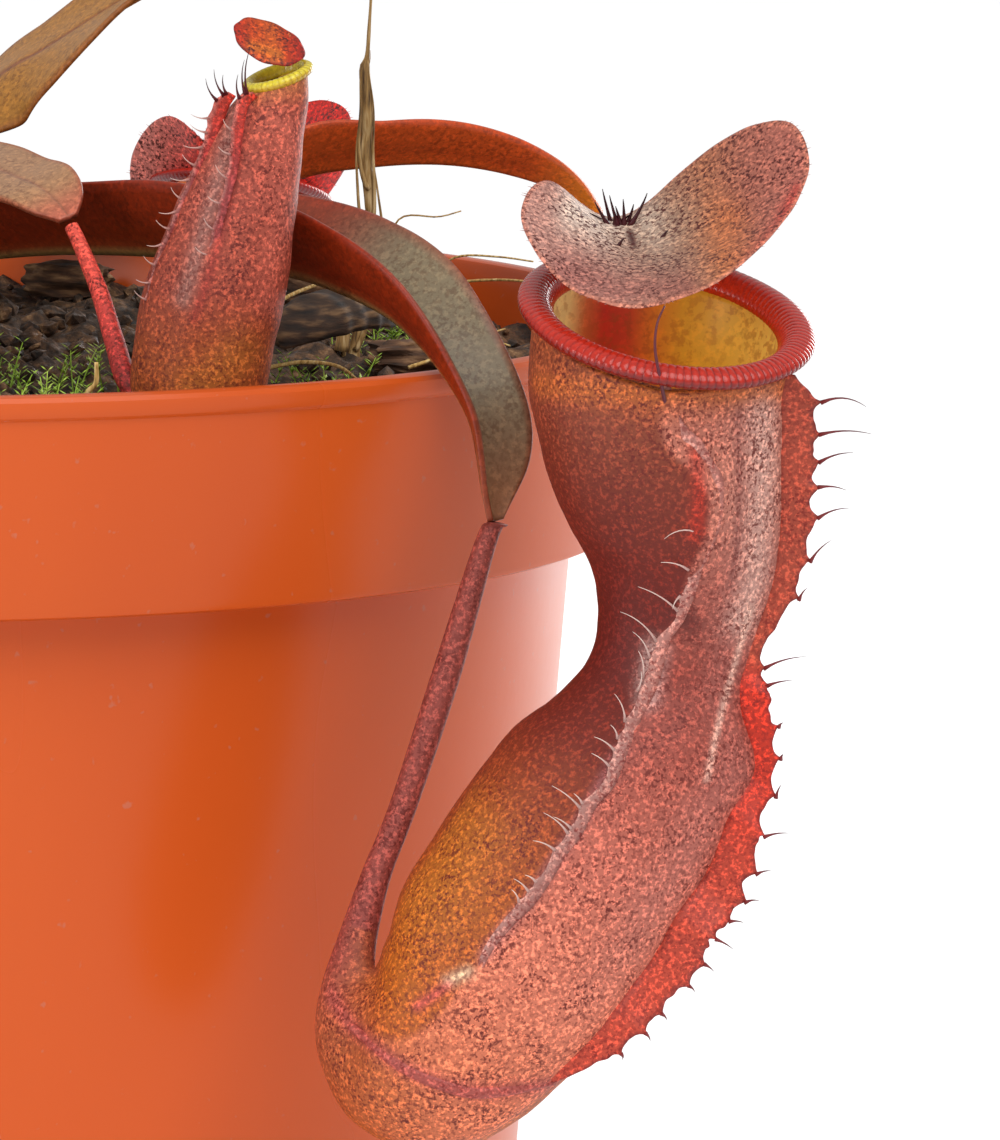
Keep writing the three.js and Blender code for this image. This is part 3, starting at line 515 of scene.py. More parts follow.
def soil_rings():
    """The base, the side and the rough top, as rings from the outside in."""
    angles = round_angles(260)
    circle = np.stack([np.cos(angles), np.sin(angles), np.zeros(len(angles))], -1)
    sides = [(74.6, 2.6), (76.4, 4.6), (85.2, 126.8), (91.6, 128.9), (92.2, 139.0)]
    rings = [radius * circle + [0, 0, height] for radius, height in sides]
    for radius in (*np.linspace(92.3, 6, 62), 3, 1):
        flat = radius * circle
        rough = 1.5 * wobble(flat, 3.2, 5) + 0.8 * wobble(flat, 1.3, 9)
        rings.append(np.stack([flat[:, 0], flat[:, 1], soil_height(*flat[:, :2].T) + rough], -1))
    return rings


dress(add_mesh("soil_body", *skin(soil_rings())[:2]), PEAT, "soil", "soil")

# %% Crumbs of peat
def crumb_shape():
    """A low ico sphere, squashed and broken a little: one crumb, copied by its points."""
    select_none()
    bpy.ops.mesh.primitive_ico_sphere_add(subdivisions=1, radius=1)
    ball = bpy.context.object
    points = np.array([v.co for v in ball.data.vertices])
    faces = [list(p.vertices) for p in ball.data.polygons]
    bpy.data.objects.remove(ball)
    return points, faces


BALL_POINTS, BALL_FACES = crumb_shape()
CRUMBS, SPREAD_RADIUS, SMALLEST_CRUMB, LARGEST_CRUMB = 1500, 90, 0.5, 2.1


def crumbs(rng):
    """Crumbs scattered evenly over the soil, but not where they would touch the pot."""
    parts = []
    for _ in range(CRUMBS):
        radius, angle = SPREAD_RADIUS * math.sqrt(rng.uniform(0.01, 1)), rng.uniform(0, 2 * math.pi)
        size = rng.uniform(SMALLEST_CRUMB, LARGEST_CRUMB)
        if radius + size > SPREAD_RADIUS + 1.5:
            continue
        x, y = radius * math.cos(angle), radius * math.sin(angle)
        turn = Matrix.Rotation(rng.uniform(0, 6), 3, "Z") @ Matrix.Rotation(rng.uniform(-0.6, 0.6), 3, "X")
        stretch = np.array([rng.uniform(0.6, 1.3), rng.uniform(0.5, 1.0), rng.uniform(0.4, 0.8)])
        shape = BALL_POINTS * stretch * size * rng.uniform(0.75, 1.25, (len(BALL_POINTS), 1))
        place = np.array([x, y, soil_height(x, y) + 0.35 * size])
        parts.append((shape @ np.array(turn).T + place, BALL_FACES))
    return parts


build("soil_crumbs", crumbs(np.random.default_rng(3)), PEAT, "soil", faceted=True)

# %% [markdown]
# ## The large pitcher
# A pitcher is the swollen, hollow end of a leaf's tendril. The tendril comes down from the leaf,
# turns under the base, and widens to a cup that rises to an oblique mouth. Each section is an
# oval, so the rows below give the two edges of each section in the pitcher's upright plane, and
# its depth. A smooth curve is passed through them, and the ovals get soft corners where the two
# wings stand.

# %% The pitcher's sections
# Each row: x and z of one edge, x and z of the other, and y. The tendril's rows run down.
TENDRIL = [
    [74.1, 134.3, 71.9, 134.7, -76.9], [72.9, 132.5, 70.5, 132.7, -77.5], [69, 118.2, 65.8, 118.5, -80],
    [64.3, 104.1, 61.3, 104.6, -82.5], [61.5, 96.8, 58.4, 97.6, -84], [60, 90.6, 56, 91.3, -85.5],
]
BODY = [
    [59.6, 87.6, 53.7, 84.6, -87], [59.6, 87.2, 53.2, 79.4, -88.5], [59.7, 87.4, 54.8, 74.3, -89.5],
    [59.8, 87.9, 57.6, 70.5, -90.5], [60, 88.7, 62.6, 68.2, -91], [60.3, 90, 68.5, 68, -91],
    [60.9, 91.7, 74.5, 70.9, -91], [61.6, 94.3, 79.9, 75.4, -90.5], [62.8, 97.1, 85.2, 80.8, -90],
    [65.8, 101.8, 90.3, 89, -89.5], [69.5, 107.6, 94.7, 96.7, -89], [74.2, 113.4, 98.5, 104.3, -88.5],
    [78.8, 117.1, 100.9, 110.3, -88], [82.2, 121.1, 100.1, 116.2, -87.5],
    [83.3, 125.4, 100.7, 121.6, -87], [82.5, 130.9, 102.2, 128.2, -87], [80, 135.7, 103.2, 134.8, -87],
    [77.8, 140.6, 103.3, 140, -87], [76.2, 146.1, 103.1, 145.7, -87], [75.3, 151, 103.4, 151, -87],
]
DEPTH_SHARE = 0.96
MOUTH = np.array([89.9, -87, 156.6])
MOUTH_ACROSS = np.array([14.1, 0, -1.5])
MOUTH_ALONG = np.array([0, 14.1, 4.5])


def section_row(row, depth_share, tilt):
    """Centre (3), across (x, z) and along (y, z) of a section's oval."""
    ix, iz, ox, oz, y = row
    half = math.hypot(ox - ix, oz - iz) / 2
    depth = half * depth_share
    return [(ix + ox) / 2, y, (iz + oz) / 2, (ox - ix) / 2, (oz - iz) / 2, depth, depth * tilt]


def section_rows():
    """All the sections: the cup's foot is a little flatter, and its top tilts towards the mouth."""
    rows = [section_row(row, 1, 0) for row in TENDRIL]
    for i, row in enumerate(BODY):
        share = 0.9 + (DEPTH_SHARE - 0.9) * min(1, i / 8)
        rows.append(section_row(row, share, max(0, (i - 15) / 4) * 0.26))
    mouth = [*MOUTH, MOUTH_ACROSS[0], MOUTH_ACROSS[2], MOUTH_ALONG[1], MOUTH_ALONG[2]]
    return rows + [mouth]


def axes_of(sections):
    """The centre, the across and the along vector of each section row."""
    none = np.zeros(len(sections))
    across = np.stack([sections[:, 3], none, sections[:, 4]], -1)
    along = np.stack([none, sections[:, 5], sections[:, 6]], -1)
    return sections[:, :3], across, along


RING_COUNT, SIDE_COUNT = 300, 192
CENTRE, ACROSS, ALONG = axes_of(smooth_rows(section_rows(), RING_COUNT))
# The tendril's last ring is the one 86 mm up, on its way down at the left.
BASE_RING = int(np.argmin(np.abs(CENTRE[:, 2] - 86) + 100 * (CENTRE[:, 0] > 60)))
print("rings:", RING_COUNT, "of which the tendril has", BASE_RING)

# %% Where the wings stand
# Down the front of the cup, in mm: x, z and how far the wing reaches. The right one's line is its
# foot, and the left one's is its free edge.
RIGHT_WING = [
    [101.7, 153.2, 2], [101.6, 150.6, 4], [101.9, 146, 4], [102.1, 140.6, 3.8], [102.3, 136.6, 3.5],
    [101.8, 131.2, 3], [100.8, 127.1, 2.3], [99.8, 124.4, 1.7], [99, 121.5, 1.6], [98.3, 118.4, 3.4],
    [98.9, 114.9, 3.2], [99.7, 111.9, 2.6], [99.5, 109.2, 2.6], [97, 105.1, 4], [94.8, 99.2, 4.7],
    [91.2, 94.2, 4.9], [89.5, 90.7, 4.7], [87.6, 88, 4.3], [84.3, 83.9, 3.7], [82.3, 81.5, 3],
    [80, 79.1, 2], [78, 77, 1],
]
LEFT_WING = [
    [88.2, 152.9, 0.5], [88.8, 150, 0.8], [89.9, 147.9, 0.9], [91.5, 146.3, 1], [92.6, 144.1, 1.2],
    [93.5, 142.5, 1.3], [93.7, 140.6, 1.3], [93.6, 137.9, 1.2], [93.1, 135.7, 1.1], [92.1, 133, 1],
    [91.6, 130.6, 0.9], [91.3, 129.2, 0.8], [90.7, 126.8, 0.5], [89.2, 124.7, 0.7], [88.2, 122.2, 1.1],
    [87.2, 119.2, 1.1], [85.6, 116.2, 1], [84.4, 113.5, 0.9], [82.8, 109.8, 0.9], [80.8, 107.5, 0.9],
    [79.3, 104.6, 0.9], [77.6, 102.4, 0.9], [76.2, 100, 0.9], [74.3, 97.2, 0.9], [72.3, 95.1, 0.8],
    [70.3, 92.4, 0.6], [69.4, 90.3, 0.3],
]


def on_front(x, z):
    """The ring and the angle of the front surface point that is seen at x, z."""
    offset = np.stack([x - CENTRE[:, 0], np.zeros(RING_COUNT), z - CENTRE[:, 2]], -1)
    half = np.linalg.norm(ACROSS, axis=1)
    share = np.einsum("ij,ij->i", offset, ACROSS) / half**2
    away = np.linalg.norm(offset - ACROSS * share[:, None], axis=1)
    away[:BASE_RING] += 50
    away += 20 * np.maximum(0, np.abs(share) - 1)
    ring = int(np.argmin(away))
    return ring, -math.acos(float(np.clip(share[ring], -1, 0.985)))


def wing_line(rows):
    """Ring number and angle at each of a wing's points, from the base up."""
    line = np.array([on_front(row[0], row[1]) for row in rows])
    return line[np.argsort(line[:, 0])]


RIGHT_LINE, LEFT_LINE = wing_line(RIGHT_WING), wing_line(LEFT_WING)
RING_NUMBERS = np.arange(RING_COUNT)
RIGHT_ANGLE = np.interp(RING_NUMBERS, RIGHT_LINE[:, 0], RIGHT_LINE[:, 1])
LEFT_ANGLE = np.interp(RING_NUMBERS, LEFT_LINE[:, 0], LEFT_LINE[:, 1])
print("left wing from ring", int(LEFT_LINE[0, 0]), "to", int(LEFT_LINE[-1, 0]))

# %% The cup's surface
ANGLES = round_angles(SIDE_COUNT)
RISE = np.clip((RING_NUMBERS - BASE_RING) / (RING_COUNT - 1 - BASE_RING), -1, 1)
# How far each point lies round the cup from each wing's line.
TO_LEFT, TO_RIGHT = (wrapped(ANGLES - line[:, None]) for line in (LEFT_ANGLE, RIGHT_ANGLE))


def ovals(centre, across, along, angles, grow, inset=0):
    """Ovals about a line of centres, grown by a share at each angle and set in by inset mm."""
    rings = centre[:, None]
    for axis, turn in ((across, np.cos(angles)), (along, np.sin(angles))):
        half = np.linalg.norm(axis, axis=1)[:, None]
        rings = rings + axis[:, None] * (turn * grow * ((half - inset) / half))[..., None]
    return rings


def cup_rings(inset):
    """The ovals of the cup, with soft corners at the wings and a dip between them."""
    grown, upper = (fade(low, high, RISE)[:, None] for low, high in ((0.04, 0.2), (0.62, 0.8)))
    corner = 0.035 * peak(TO_LEFT, 0.16) + 0.03 * peak(TO_RIGHT, 0.2)
    between = fade(0.1, 0.5, TO_LEFT) * fade(0.1, 0.5, -TO_RIGHT) * (TO_LEFT > 0) * (TO_RIGHT < 0)
    crease = 0.012 * peak(TO_LEFT - 0.55 * (RIGHT_ANGLE - LEFT_ANGLE)[:, None], 0.05)
    grow = 1 + grown * (corner - 0.03 * between - crease * upper)
    return ovals(CENTRE, ACROSS, ALONG, ANGLES, grow, inset)


OUTSIDE = cup_rings(0)
# Broad lumps 7 mm across, with finer ones on them, all above the tendril.
LUMPS = 0.22 * wobble(OUTSIDE, 7, 3) + 0.06 * wobble(OUTSIDE, 1.6, 8)
LUMPS *= fade(-0.02, 0.1, RISE)[:, None]
OUTSIDE = OUTSIDE + unit(OUTSIDE - CENTRE[:, None]) * LUMPS[..., None]
print("cup", OUTSIDE.shape)

# %% The cup's broad colours
BACK_TONES = [
    (-1, "7E3A32"), (-0.03, "8A4038"), (0.02, "9A5034"), (0.1, "A45422"), (0.32, "9A4E1E"),
    (0.44, "8A3E20"), (0.54, "6A261A"), (0.64, "581812"), (0.74, "661E14"), (0.86, "6E2C1E"),
    (0.95, "7E3C28"), (1, "A0522E"),
]
BAND_TONES = [
    (-1, "84403A"), (-0.03, "9A4A40"), (0.03, "BC6444"), (0.12, "C26A48"), (0.28, "C46E56"),
    (0.42, "B06050"), (0.55, "94483C"), (0.64, "7E362C"), (0.74, "985246"), (0.86, "AA6A5A"),
    (0.95, "AA6452"), (1, "B05E3C"),
]
# Marks on the front of the cup: colour, share, half width in mm, and a line of (x, z) in mm. Three are
# painted light: shade at the waist, a highlight, and shade in a crease.
CUP_MARKS = [
    ("A85E18", 0.6, 3.2, [(60.9, 93), (60.6, 88.5)]),
    ("B87A28", 0.35, 4.5, [(64, 98), (68, 104)]),
    # Painted shade: the dark patch at the waist on the left.
    ("5E1E1A", 0.55, 4.0, [(82, 131), (84.5, 124.5)]),
    ("B4602C", 0.75, 1.2, [(76.5, 151.6), (90, 152), (103.5, 151.4)]),
    ("A42A1C", 0.7, 0.8, [(92.2, 145.5), (92.9, 141), (92.6, 136.5)]),
    # Painted highlight: the pale sheen by the left wing at the waist.
    ("C8A098", 0.75, 1.1, [(88.9, 123.4), (87.9, 118.5)]),
    ("58201C", 0.85, 1.2, [(91.2, 127.4), (92.6, 126.2)]),
    ("BC988C", 0.6, 1.8, [(99.8, 149), (100, 141), (99.6, 131), (98.2, 126.5)]),
    # Painted shade: the dark line in the crease between the wings.
    ("7A443E", 0.7, 0.35, [(96.9, 149.5), (97.3, 141.4), (97.2, 134), (96.6, 130)]),
    ("D0A898", 0.6, 0.35, [(99.2, 127.6), (97.6, 121.6), (95.2, 113.6), (94.4, 109.8)]),
    ("8A5A60", 0.5, 0.7, [(84.8, 113), (80, 105), (74.8, 97), (70.4, 91.5)]),
    ("D8BC9C", 0.65, 0.6, [(66.6, 88.4), (68.6, 89.6)]),
    ("B44A4A", 0.7, 0.5, [(63.3, 85.4), (64.9, 86.7), (66.6, 88.1)]),
    ("A04A48", 0.7, 0.9,
     [(54.4, 84.8), (56.6, 82.1), (61.8, 78.9), (66.2, 77.1), (70.5, 76.1), (78.3, 76.4)]),
]


def marked(tint, points, marks, front=None):
    """Paints soft lines, seen from the front, over a tint; front says how far each point shows."""
    for code, share, width, line in marks:
        nearest = np.full(points.shape[:-1], 1e9)
        line = np.array(line if len(line) > 1 else [line[0], np.add(line[0], 0.01)], float)
        for start, end in zip(line[:-1], line[1:]):
            way = end - start
            offset = points[..., [0, 2]] - start
            along = np.clip((offset @ way) / (way @ way), 0, 1)
            nearest = np.minimum(nearest, np.linalg.norm(offset - along[..., None] * way, axis=-1))
        cover = share * np.exp(-((nearest / width) ** 2) * 0.8)
        tint = mixed(tint, linear(code), cover if front is None else cover * front)
    return tint


def cup_tint():
    """Tan to brick at the back and left, and greyer pink between the two wings."""
    round_cup = np.ones((1, SIDE_COUNT, 1))
    back, band = (blend(tones, RISE)[:, None] * round_cup for tones in (BACK_TONES, BAND_TONES))
    inside_band = fade(-0.04, 0.06, TO_LEFT) * fade(-0.25, -0.02, -TO_RIGHT)
    tint = mixed(back, band, inside_band * fade(0.05, 0.16, RISE)[:, None])
    rosy = peak(TO_RIGHT + 0.35, 0.3) * fade(0.2, 0.4, RISE)[:, None]
    tint = mixed(tint, linear("A86E66"), 0.25 * rosy)
    front = fade(0.5, 3, CENTRE[:, None, 1] - OUTSIDE[..., 1]) * (RISE > -0.06)[:, None]
    return marked(tint, OUTSIDE, CUP_MARKS, front)


# %% Build the cup with its hollow
# The hollow starts a sixth of the way up, with a blunt end set in by 4 mm.
CUP_WALL, BLUNT_INSET = 0.9, 4
FIRST_HOLLOW = BASE_RING + int(0.16 * (RING_COUNT - BASE_RING))
# Round the inside of the mouth: golden at the right, red at the back left, pale at the left. These tones are
# lighter than the wax itself, as painted light for daylight through the thin wall.
INNER_TONES = [
    (0.3, "F0C860"), (0.9, "DCA838"), (1.3, "D09428"), (1.55, "D0701E"), (1.75, "C43C1A"),
    (1.98, "B82A18"), (2.16, "C8643A"), (2.36, "E0C080"), (2.8, "E0D898"), (3.6, "D8A848"), (6.2, "E0B048"),
]


def inner_tint():
    level = np.linspace(1, 0, RING_COUNT - FIRST_HOLLOW + 1)
    round_mouth = blend(INNER_TONES, np.mod(ANGLES, 2 * math.pi))[None] * np.ones((len(level), 1, 1))
    return mixed(round_mouth, linear("8A5A1E"), fade(0.75, 0.3, level)[:, None] * np.ones((1, SIDE_COUNT)))


inner = cup_rings(CUP_WALL)[FIRST_HOLLOW:][::-1]
blunt = cup_rings(BLUNT_INSET)[FIRST_HOLLOW]
points, faces, uv = skin(np.concatenate([OUTSIDE, inner, blunt[None]]))
tint = np.concatenate([part.reshape(-1, 3) for part in (cup_tint(), inner_tint())])
large_cup = add_mesh("large_pitcher_body", points, faces, uv, tint)
for material in (CUP_SKIN, INNER_SKIN):
    large_cup.data.materials.append(material)
for face in large_cup.data.polygons:
    face.material_index = int(min(face.vertices) >= RING_COUNT * SIDE_COUNT)
dress(large_cup, None, "cup", "large_pitcher_cup")

# %% [markdown]
# ## Wings and hairs
# Two wings run down the front of the cup, and each bears a fringe of hairs. A wing is a thin strip
# that stands on the surface along its line. The hairs are tapered tubes of a few sides, long and
# dark at the top right, and short, pale and hooked on the left wing. Each hair stands on a small
# tooth of the wing, and the edge is hollow from one tooth to the next.

# %% Wing strips
def surface_at(ring, angle):
    """The point on the cup at a ring number and an angle."""
    column = (angle % (2 * math.pi)) / (2 * math.pi) * SIDE_COUNT
    j, part = int(column) % SIDE_COUNT, column - math.floor(column)
    return OUTSIDE[ring, j] * (1 - part) + OUTSIDE[ring, (j + 1) % SIDE_COUNT] * part


def on_cup(rows, count):
    """count rows (x, y, z, ...) through the given (x, z, ...), laid on the cup's front and smoothed."""
    line = smooth_rows([[row[0], 0, *row[1:]] for row in rows], count)
    y = np.array([surface_at(*on_front(x, z))[1] for x, z in line[:, [0, 2]]])
    line[:, 1] = np.convolve(np.pad(y, 9, mode="edge"), np.ones(19) / 19, mode="valid")
    return line


# In mm: how wide a tooth is, and how deep a wing and a hair stand in what bears them.
TOOTH_WIDTH, WING_DEPTH, HAIR_DEPTH = 0.5, 0.5, 0.3


def wing_blade(rows, hairs, side, tooth, seed, tones, thick=1.0):
    """A thin blade on rows of (x, y, z, reach), to a side, 1 or -1, with teeth under its hairs."""
    foot, reach = rows[:, :3], rows[:, 3]
    run = unit(np.gradient(foot * [1, 0, 1], axis=0))
    out = side * np.stack([-run[:, 2], np.full(len(run), -0.12 * side), run[:, 0]], -1)
    aside = unit(np.cross(run, out))
    edge = foot + out * reach[:, None]
    step = np.linalg.norm(np.gradient(edge, axis=0), axis=1).mean()
    teeth, roots = np.zeros(len(foot)), []
    for x, z, *_ in hairs:
        near = int(np.argmin(np.hypot(edge[:, 0] - x, edge[:, 2] - z)))
        teeth = np.maximum(teeth, np.exp(-np.abs(np.arange(len(foot)) - near) * step / TOOTH_WIDTH))
        roots.append(near)
    reach = reach * (1 + 0.1 * wobble(foot, 1.2, seed)) + tooth * (teeth - 0.35)
    sway = 0.4 * reach * wobble(foot, 5, seed + 9)
    levels = np.array([0, 0.3, 0.6, 0.85, 1])
    halves = thick * np.array([0.5, 0.34, 0.24, 0.17, 0.07])
    sheet = []
    for sign in (1, -1):
        for level, half in zip(levels[::sign], halves[::sign]):
            lift = -WING_DEPTH + (reach + WING_DEPTH) * level
            sheet.append(foot + out * lift[:, None] + aside * (sign * half + sway * level**2)[:, None])
    points, faces, _ = skin(np.stack(sheet, 1))
    tint = np.stack([tones(foot, level) for level in (*levels, *levels[::-1])], 1)
    edge = foot + out * reach[:, None] + aside * sway[:, None]
    return (points, faces, tint.reshape(-1, 3)), edge[roots]


def hair(root, tip, bow, radius, root_tint, tip_tint, sides=5):
    """A tapered hair from root to tip that bows aside in its middle."""
    t = np.linspace(0, 1, 8)[:, None]
    middle = (root + tip) / 2 + bow
    path = root * (1 - t) ** 2 + 2 * middle * t * (1 - t) + tip * t**2
    path[0] -= unit(middle - root) * HAIR_DEPTH
    radii = radius * (1.12 - t[:, 0]) ** 0.8 * (1 + np.exp(-9 * t[:, 0]))
    return toned_tube(path, radii, sides, [(0, root_tint), (1, tip_tint)])


# %% The hairs' feet and tips
# Each row: x and z of the foot, x and z of the tip.
RIGHT_HAIRS = [
    [105.5, 150.2, 110.8, 150], [105.8, 146.6, 111.7, 146.8], [105.6, 143.5, 109.9, 144.6],
    [105.7, 140.8, 109.2, 140.6], [105.4, 137.5, 109.5, 138.7], [104.9, 133, 107.8, 135.1],
    [103.5, 129.1, 105.3, 129.8], [100.8, 121.1, 105.3, 122.4], [101.6, 119.7, 103.8, 119.8],
    [102, 114.8, 102.9, 115.3], [102, 111.4, 103, 111.8], [101.7, 107.7, 102.8, 108.6],
    [101.2, 103.3, 103.5, 103.6], [100.2, 99.1, 101.7, 99.4], [98.3, 96.5, 100.5, 96.1],
    [97.4, 94, 98.8, 93.8], [96.2, 91.8, 97.6, 91.1], [94.9, 88.9, 95.7, 88.4],
    [92.9, 86.8, 93.7, 86.1], [89.9, 84.1, 90.6, 83.3], [88, 82.1, 88.7, 81.3],
    [85.1, 80.3, 85.7, 79.3],
]
LEFT_HAIRS = [
    [93.2, 136.4, 89.1, 136], [91.6, 132.5, 88.9, 133.3], [91.5, 129.1, 90.4, 128.1],
    [89.4, 128.2, 86.6, 130.5], [89.1, 124.4, 84.8, 127.7], [88.5, 122.6, 86.2, 125.5],
    [87.5, 120.7, 86.8, 123.5], [87, 119.4, 87.1, 121.3], [85.5, 116.3, 84.1, 119.2],
    [84.7, 114.5, 83.7, 115.9], [83.6, 113.4, 81.9, 114.7], [82.6, 112, 81.6, 113],
    [80.2, 108.1, 79.7, 108.8], [78.9, 108, 77.3, 109.7], [78.4, 105.2, 76.4, 106.9],
    [78.8, 105.5, 77.5, 106.4], [77.2, 103.1, 75.3, 103.9], [75.4, 99.6, 74.5, 100.2],
    [74.5, 98.7, 73.3, 99.8], [73.9, 97.5, 73.1, 98.6],
]

# %% The two wings
def right_tones(foot, level):
    """Brownish red above, bright red below the waist, duller further down, and a dark edge."""
    tint = mixed(linear("AC402E"), linear("B22C1A"), fade(96, 114, foot[:, 2]))
    tint = mixed(tint, linear("98402E"), fade(119, 123, foot[:, 2]))
    tint = mixed(tint, linear("7A2E28"), np.full(len(foot), 0.5 * (level < 0.1)))
    return mixed(tint, linear("5A2028"), np.full(len(foot), 0.55 * (level > 0.95)))


def left_tones(foot, level):
    tint = mixed(linear("8E5850"), linear("9C6056"), fade(112, 122, foot[:, 2]))
    return mixed(tint, linear("B88E84"), np.full(len(foot), 0.5 * level))


right_rows = on_cup(RIGHT_WING, 520)
left_rows = on_cup([[x + reach, z, reach] for x, z, reach in LEFT_WING], 440)
right_part, right_roots = wing_blade(right_rows, RIGHT_HAIRS, 1, 0.9, 2, right_tones)
left_part, left_roots = wing_blade(left_rows, LEFT_HAIRS, -1, 0.4, 6, left_tones, 0.4)
# A low ridge joins the right wing's foot to the tendril round the cup's base.
RIDGE = [[56.6, 82.1], [61.8, 78.9], [66.2, 77.1], [70.5, 76.1], [78.3, 76.6]]
ridge_line = on_cup(RIDGE, 90) + [0, 0.35, 0]
ridge_radii = 0.8 * np.sin(np.pi * np.linspace(0.08, 0.92, 90)) ** 0.4
ridge = toned_tube(ridge_line, ridge_radii, 10, [(0, "9A4A42")])
build("large_pitcher_wings", [right_part, left_part, ridge], WING_SKIN, "cup")

# %% The wings' hairs
hairs = []
for roots, rows, radius, arch, tints in (
    (right_roots, RIGHT_HAIRS, 0.13, 0.12, ("7A2A2A", "4A2430")),
    (left_roots, LEFT_HAIRS, 0.1, -0.16, ("B89088", "ECD8CC")),
):
    for k, (root, (x, z, tip_x, tip_z)) in enumerate(zip(roots, rows)):
        tip = np.array([tip_x, root[1] - 0.25 * math.hypot(tip_x - x, tip_z - z), tip_z])
        bow = np.array([z - tip_z, 0, tip_x - x]) * (arch if k else 2 * arch)
        hairs.append(hair(root, tip, bow, radius, *tints))
# A filament rises from the top of the left wing, in front of the mouth.
FILAMENT = [
    [89, -100.4, 150], [88.2, -102.8, 153], [87.4, -103.6, 156.7], [87.6, -103, 159.4],
    [88.5, -101.6, 161.2],
]
hairs.append(toned_tube(smooth_rows(FILAMENT, 30), np.linspace(0.24, 0.1, 30), 6, [(0, "5E2A34")]))
build("large_pitcher_hairs", hairs, HAIR_SKIN, "cup")

# %% [markdown]
# ## The mouth ring
# The rim of a pitcher rolls outwards into a hard, glossy ring with fine ribs that run across it.
# Its section is an oval whose size pulses from rib to rib, a little uneven round the mouth. The
# rib spacing on the real ring is about 0.8 mm.

# %% Mouth ring
RIB_SPACING, RING_RADIUS = 0.8, 14.6
# The grooves' depth and the unevenness round the mouth, as shares of the ring's width.
GROOVE_DEPTH, UNEVENNESS = 0.075, 0.07


def mouth_ring(centre, across, along, half_width, half_height, lift, ribs):
    """Rings of points for a ribbed roll around an oval, and how far each stands out of a groove."""
    angles, turns = round_angles(ribs * 8), round_angles(20)
    up_way = unit(np.cross(across, along))
    outward = np.outer(np.cos(angles), across) + np.outer(np.sin(angles), along)
    centre_line = centre + outward + up_way * lift
    # The ribs are plain at the front and right, and faint at the left.
    plain_share = 0.3 + 0.7 * peak(wrapped(angles + 0.9), 1.5)
    wave = 1 - plain_share * (1 - np.abs(np.sin(angles * ribs / 2)) ** 0.5)
    rib = 1 - GROOVE_DEPTH * (1 - wave)
    wide = half_width * rib * (1 + UNEVENNESS * wobble(centre_line, 9, 4))
    high = half_height * rib
    inner_drop = np.clip(-np.cos(turns), 0, 1) ** 2
    rings = (
        centre_line[:, None, :]
        + unit(outward)[:, None, :] * (wide[:, None] * np.cos(turns))[..., None]
        + up_way * (high[:, None] * np.sin(turns) - 0.9 * half_height * inner_drop)[..., None]
    )
    return rings, wave[:, None], angles[:, None], turns


def add_ring(name, slot, node, oval, ribs, tones, cream=0.0):
    """A mouth ring. tones: groove, crest, inner and outer side, where the darker groove and outer tones are
    painted shade; cream is how pale its lip is.
    """
    rings, wave, angles, turns = mouth_ring(*oval, ribs)
    points, faces, uv = skin(rings, closed=True)
    groove, crest, inner, outer = (linear(code) for code in tones)
    full = np.ones(rings.shape[:2])
    # Painted shade: the grooves between the ribs are darker than the crests.
    tint = mixed(groove, crest, wave * full)
    tint = mixed(tint, inner, 0.8 * fade(0.35, 0.9, -np.cos(turns)) * full)
    # Painted shade: the outer side of the roll is darker, most where it faces down.
    tint = mixed(tint, outer, 0.7 * fade(0.1, 0.7, np.cos(turns) - 0.8 * np.sin(turns) - 0.4) * full)
    lip = peak(angles - 3.0, 0.6) * peak(turns - 3.5, 0.3)
    tint = mixed(tint, linear("F0E0C8"), cream * lip)
    dress(add_mesh(name, points, faces, uv, tint.reshape(-1, 3)), RING_SKIN, slot, node)


add_ring(
    "large_pitcher_mouth", "ring", "large_pitcher_ring",
    (MOUTH, MOUTH_ACROSS, MOUTH_ALONG, 2.05, 1.15, 1.75),
    int(2 * math.pi * RING_RADIUS / RIB_SPACING), ("80140E", "B42818", "D83818", "520C12"), 0.9,
)

# %% [markdown]
# ## The lid
# The lid is a thin oval leaf that is hinged at the back of the mouth and keeps rain out. Its two
# sides rise, so it is a saddle. A notch at its back holds the neck and a tuft of dark spurs. The
# sheet is made of rings from the middle to the rim, on its upper and lower face.

# %% Lid
LID_MIDDLE = np.array([87.6, -86.5, 164.2])
LID_EDGE = [
    [105.5, -86, 174.9], [104.7, -88.5, 173.1], [103.3, -91, 170.8], [100.3, -94.5, 167.8],
    [96.9, -97, 165], [93.8, -98.3, 163], [90.4, -98.9, 161.6], [86.7, -99, 160.6],
    [83.2, -98.2, 160.7], [80.1, -96.5, 161.7], [77.5, -94, 163.2], [75.7, -90.8, 165.4],
    [74.5, -88, 167.6], [74.2, -85, 169.2], [74.9, -82, 170.8], [76.2, -79, 172], [78.1, -76.5, 172.2],
    [80, -74.8, 170.8], [82, -74.2, 169.1], [84.4, -75.4, 167.8], [86.8, -74.6, 168.1],
    [89.3, -73.8, 169.7], [92.6, -73.2, 172.7], [96.4, -73.6, 175.8], [99.7, -75.2, 178],
    [102.4, -77.5, 179], [104.3, -80, 178.8], [105.2, -83, 177.2],
]


def closed_curve(rows, count):
    """count points on a soft closed curve through the rows."""
    rows = np.asarray(rows + rows[:1], float)
    place = np.concatenate([[0], np.cumsum(np.linalg.norm(np.diff(rows, axis=0), axis=1))])
    wanted = np.arange(count) / count * place[-1]
    line = np.stack([np.interp(wanted, place, rows[:, k]) for k in range(3)], -1)
    for _ in range(14):
        line = (np.roll(line, 1, 0) + 2 * line + np.roll(line, -1, 0)) / 4
    return line


LID_RIM = closed_curve(LID_EDGE, 240)


def lid_point(edge, share):
    """A point of the lid between its middle and a point of its edge."""
    edge, share = np.asarray(edge, float), np.asarray(share, float)[..., None]
    across = LID_MIDDLE[:2] + (edge[..., :2] - LID_MIDDLE[:2]) * share
    return np.concatenate([across, LID_MIDDLE[2] + (edge[..., 2:] - LID_MIDDLE[2]) * share**1.5], -1)


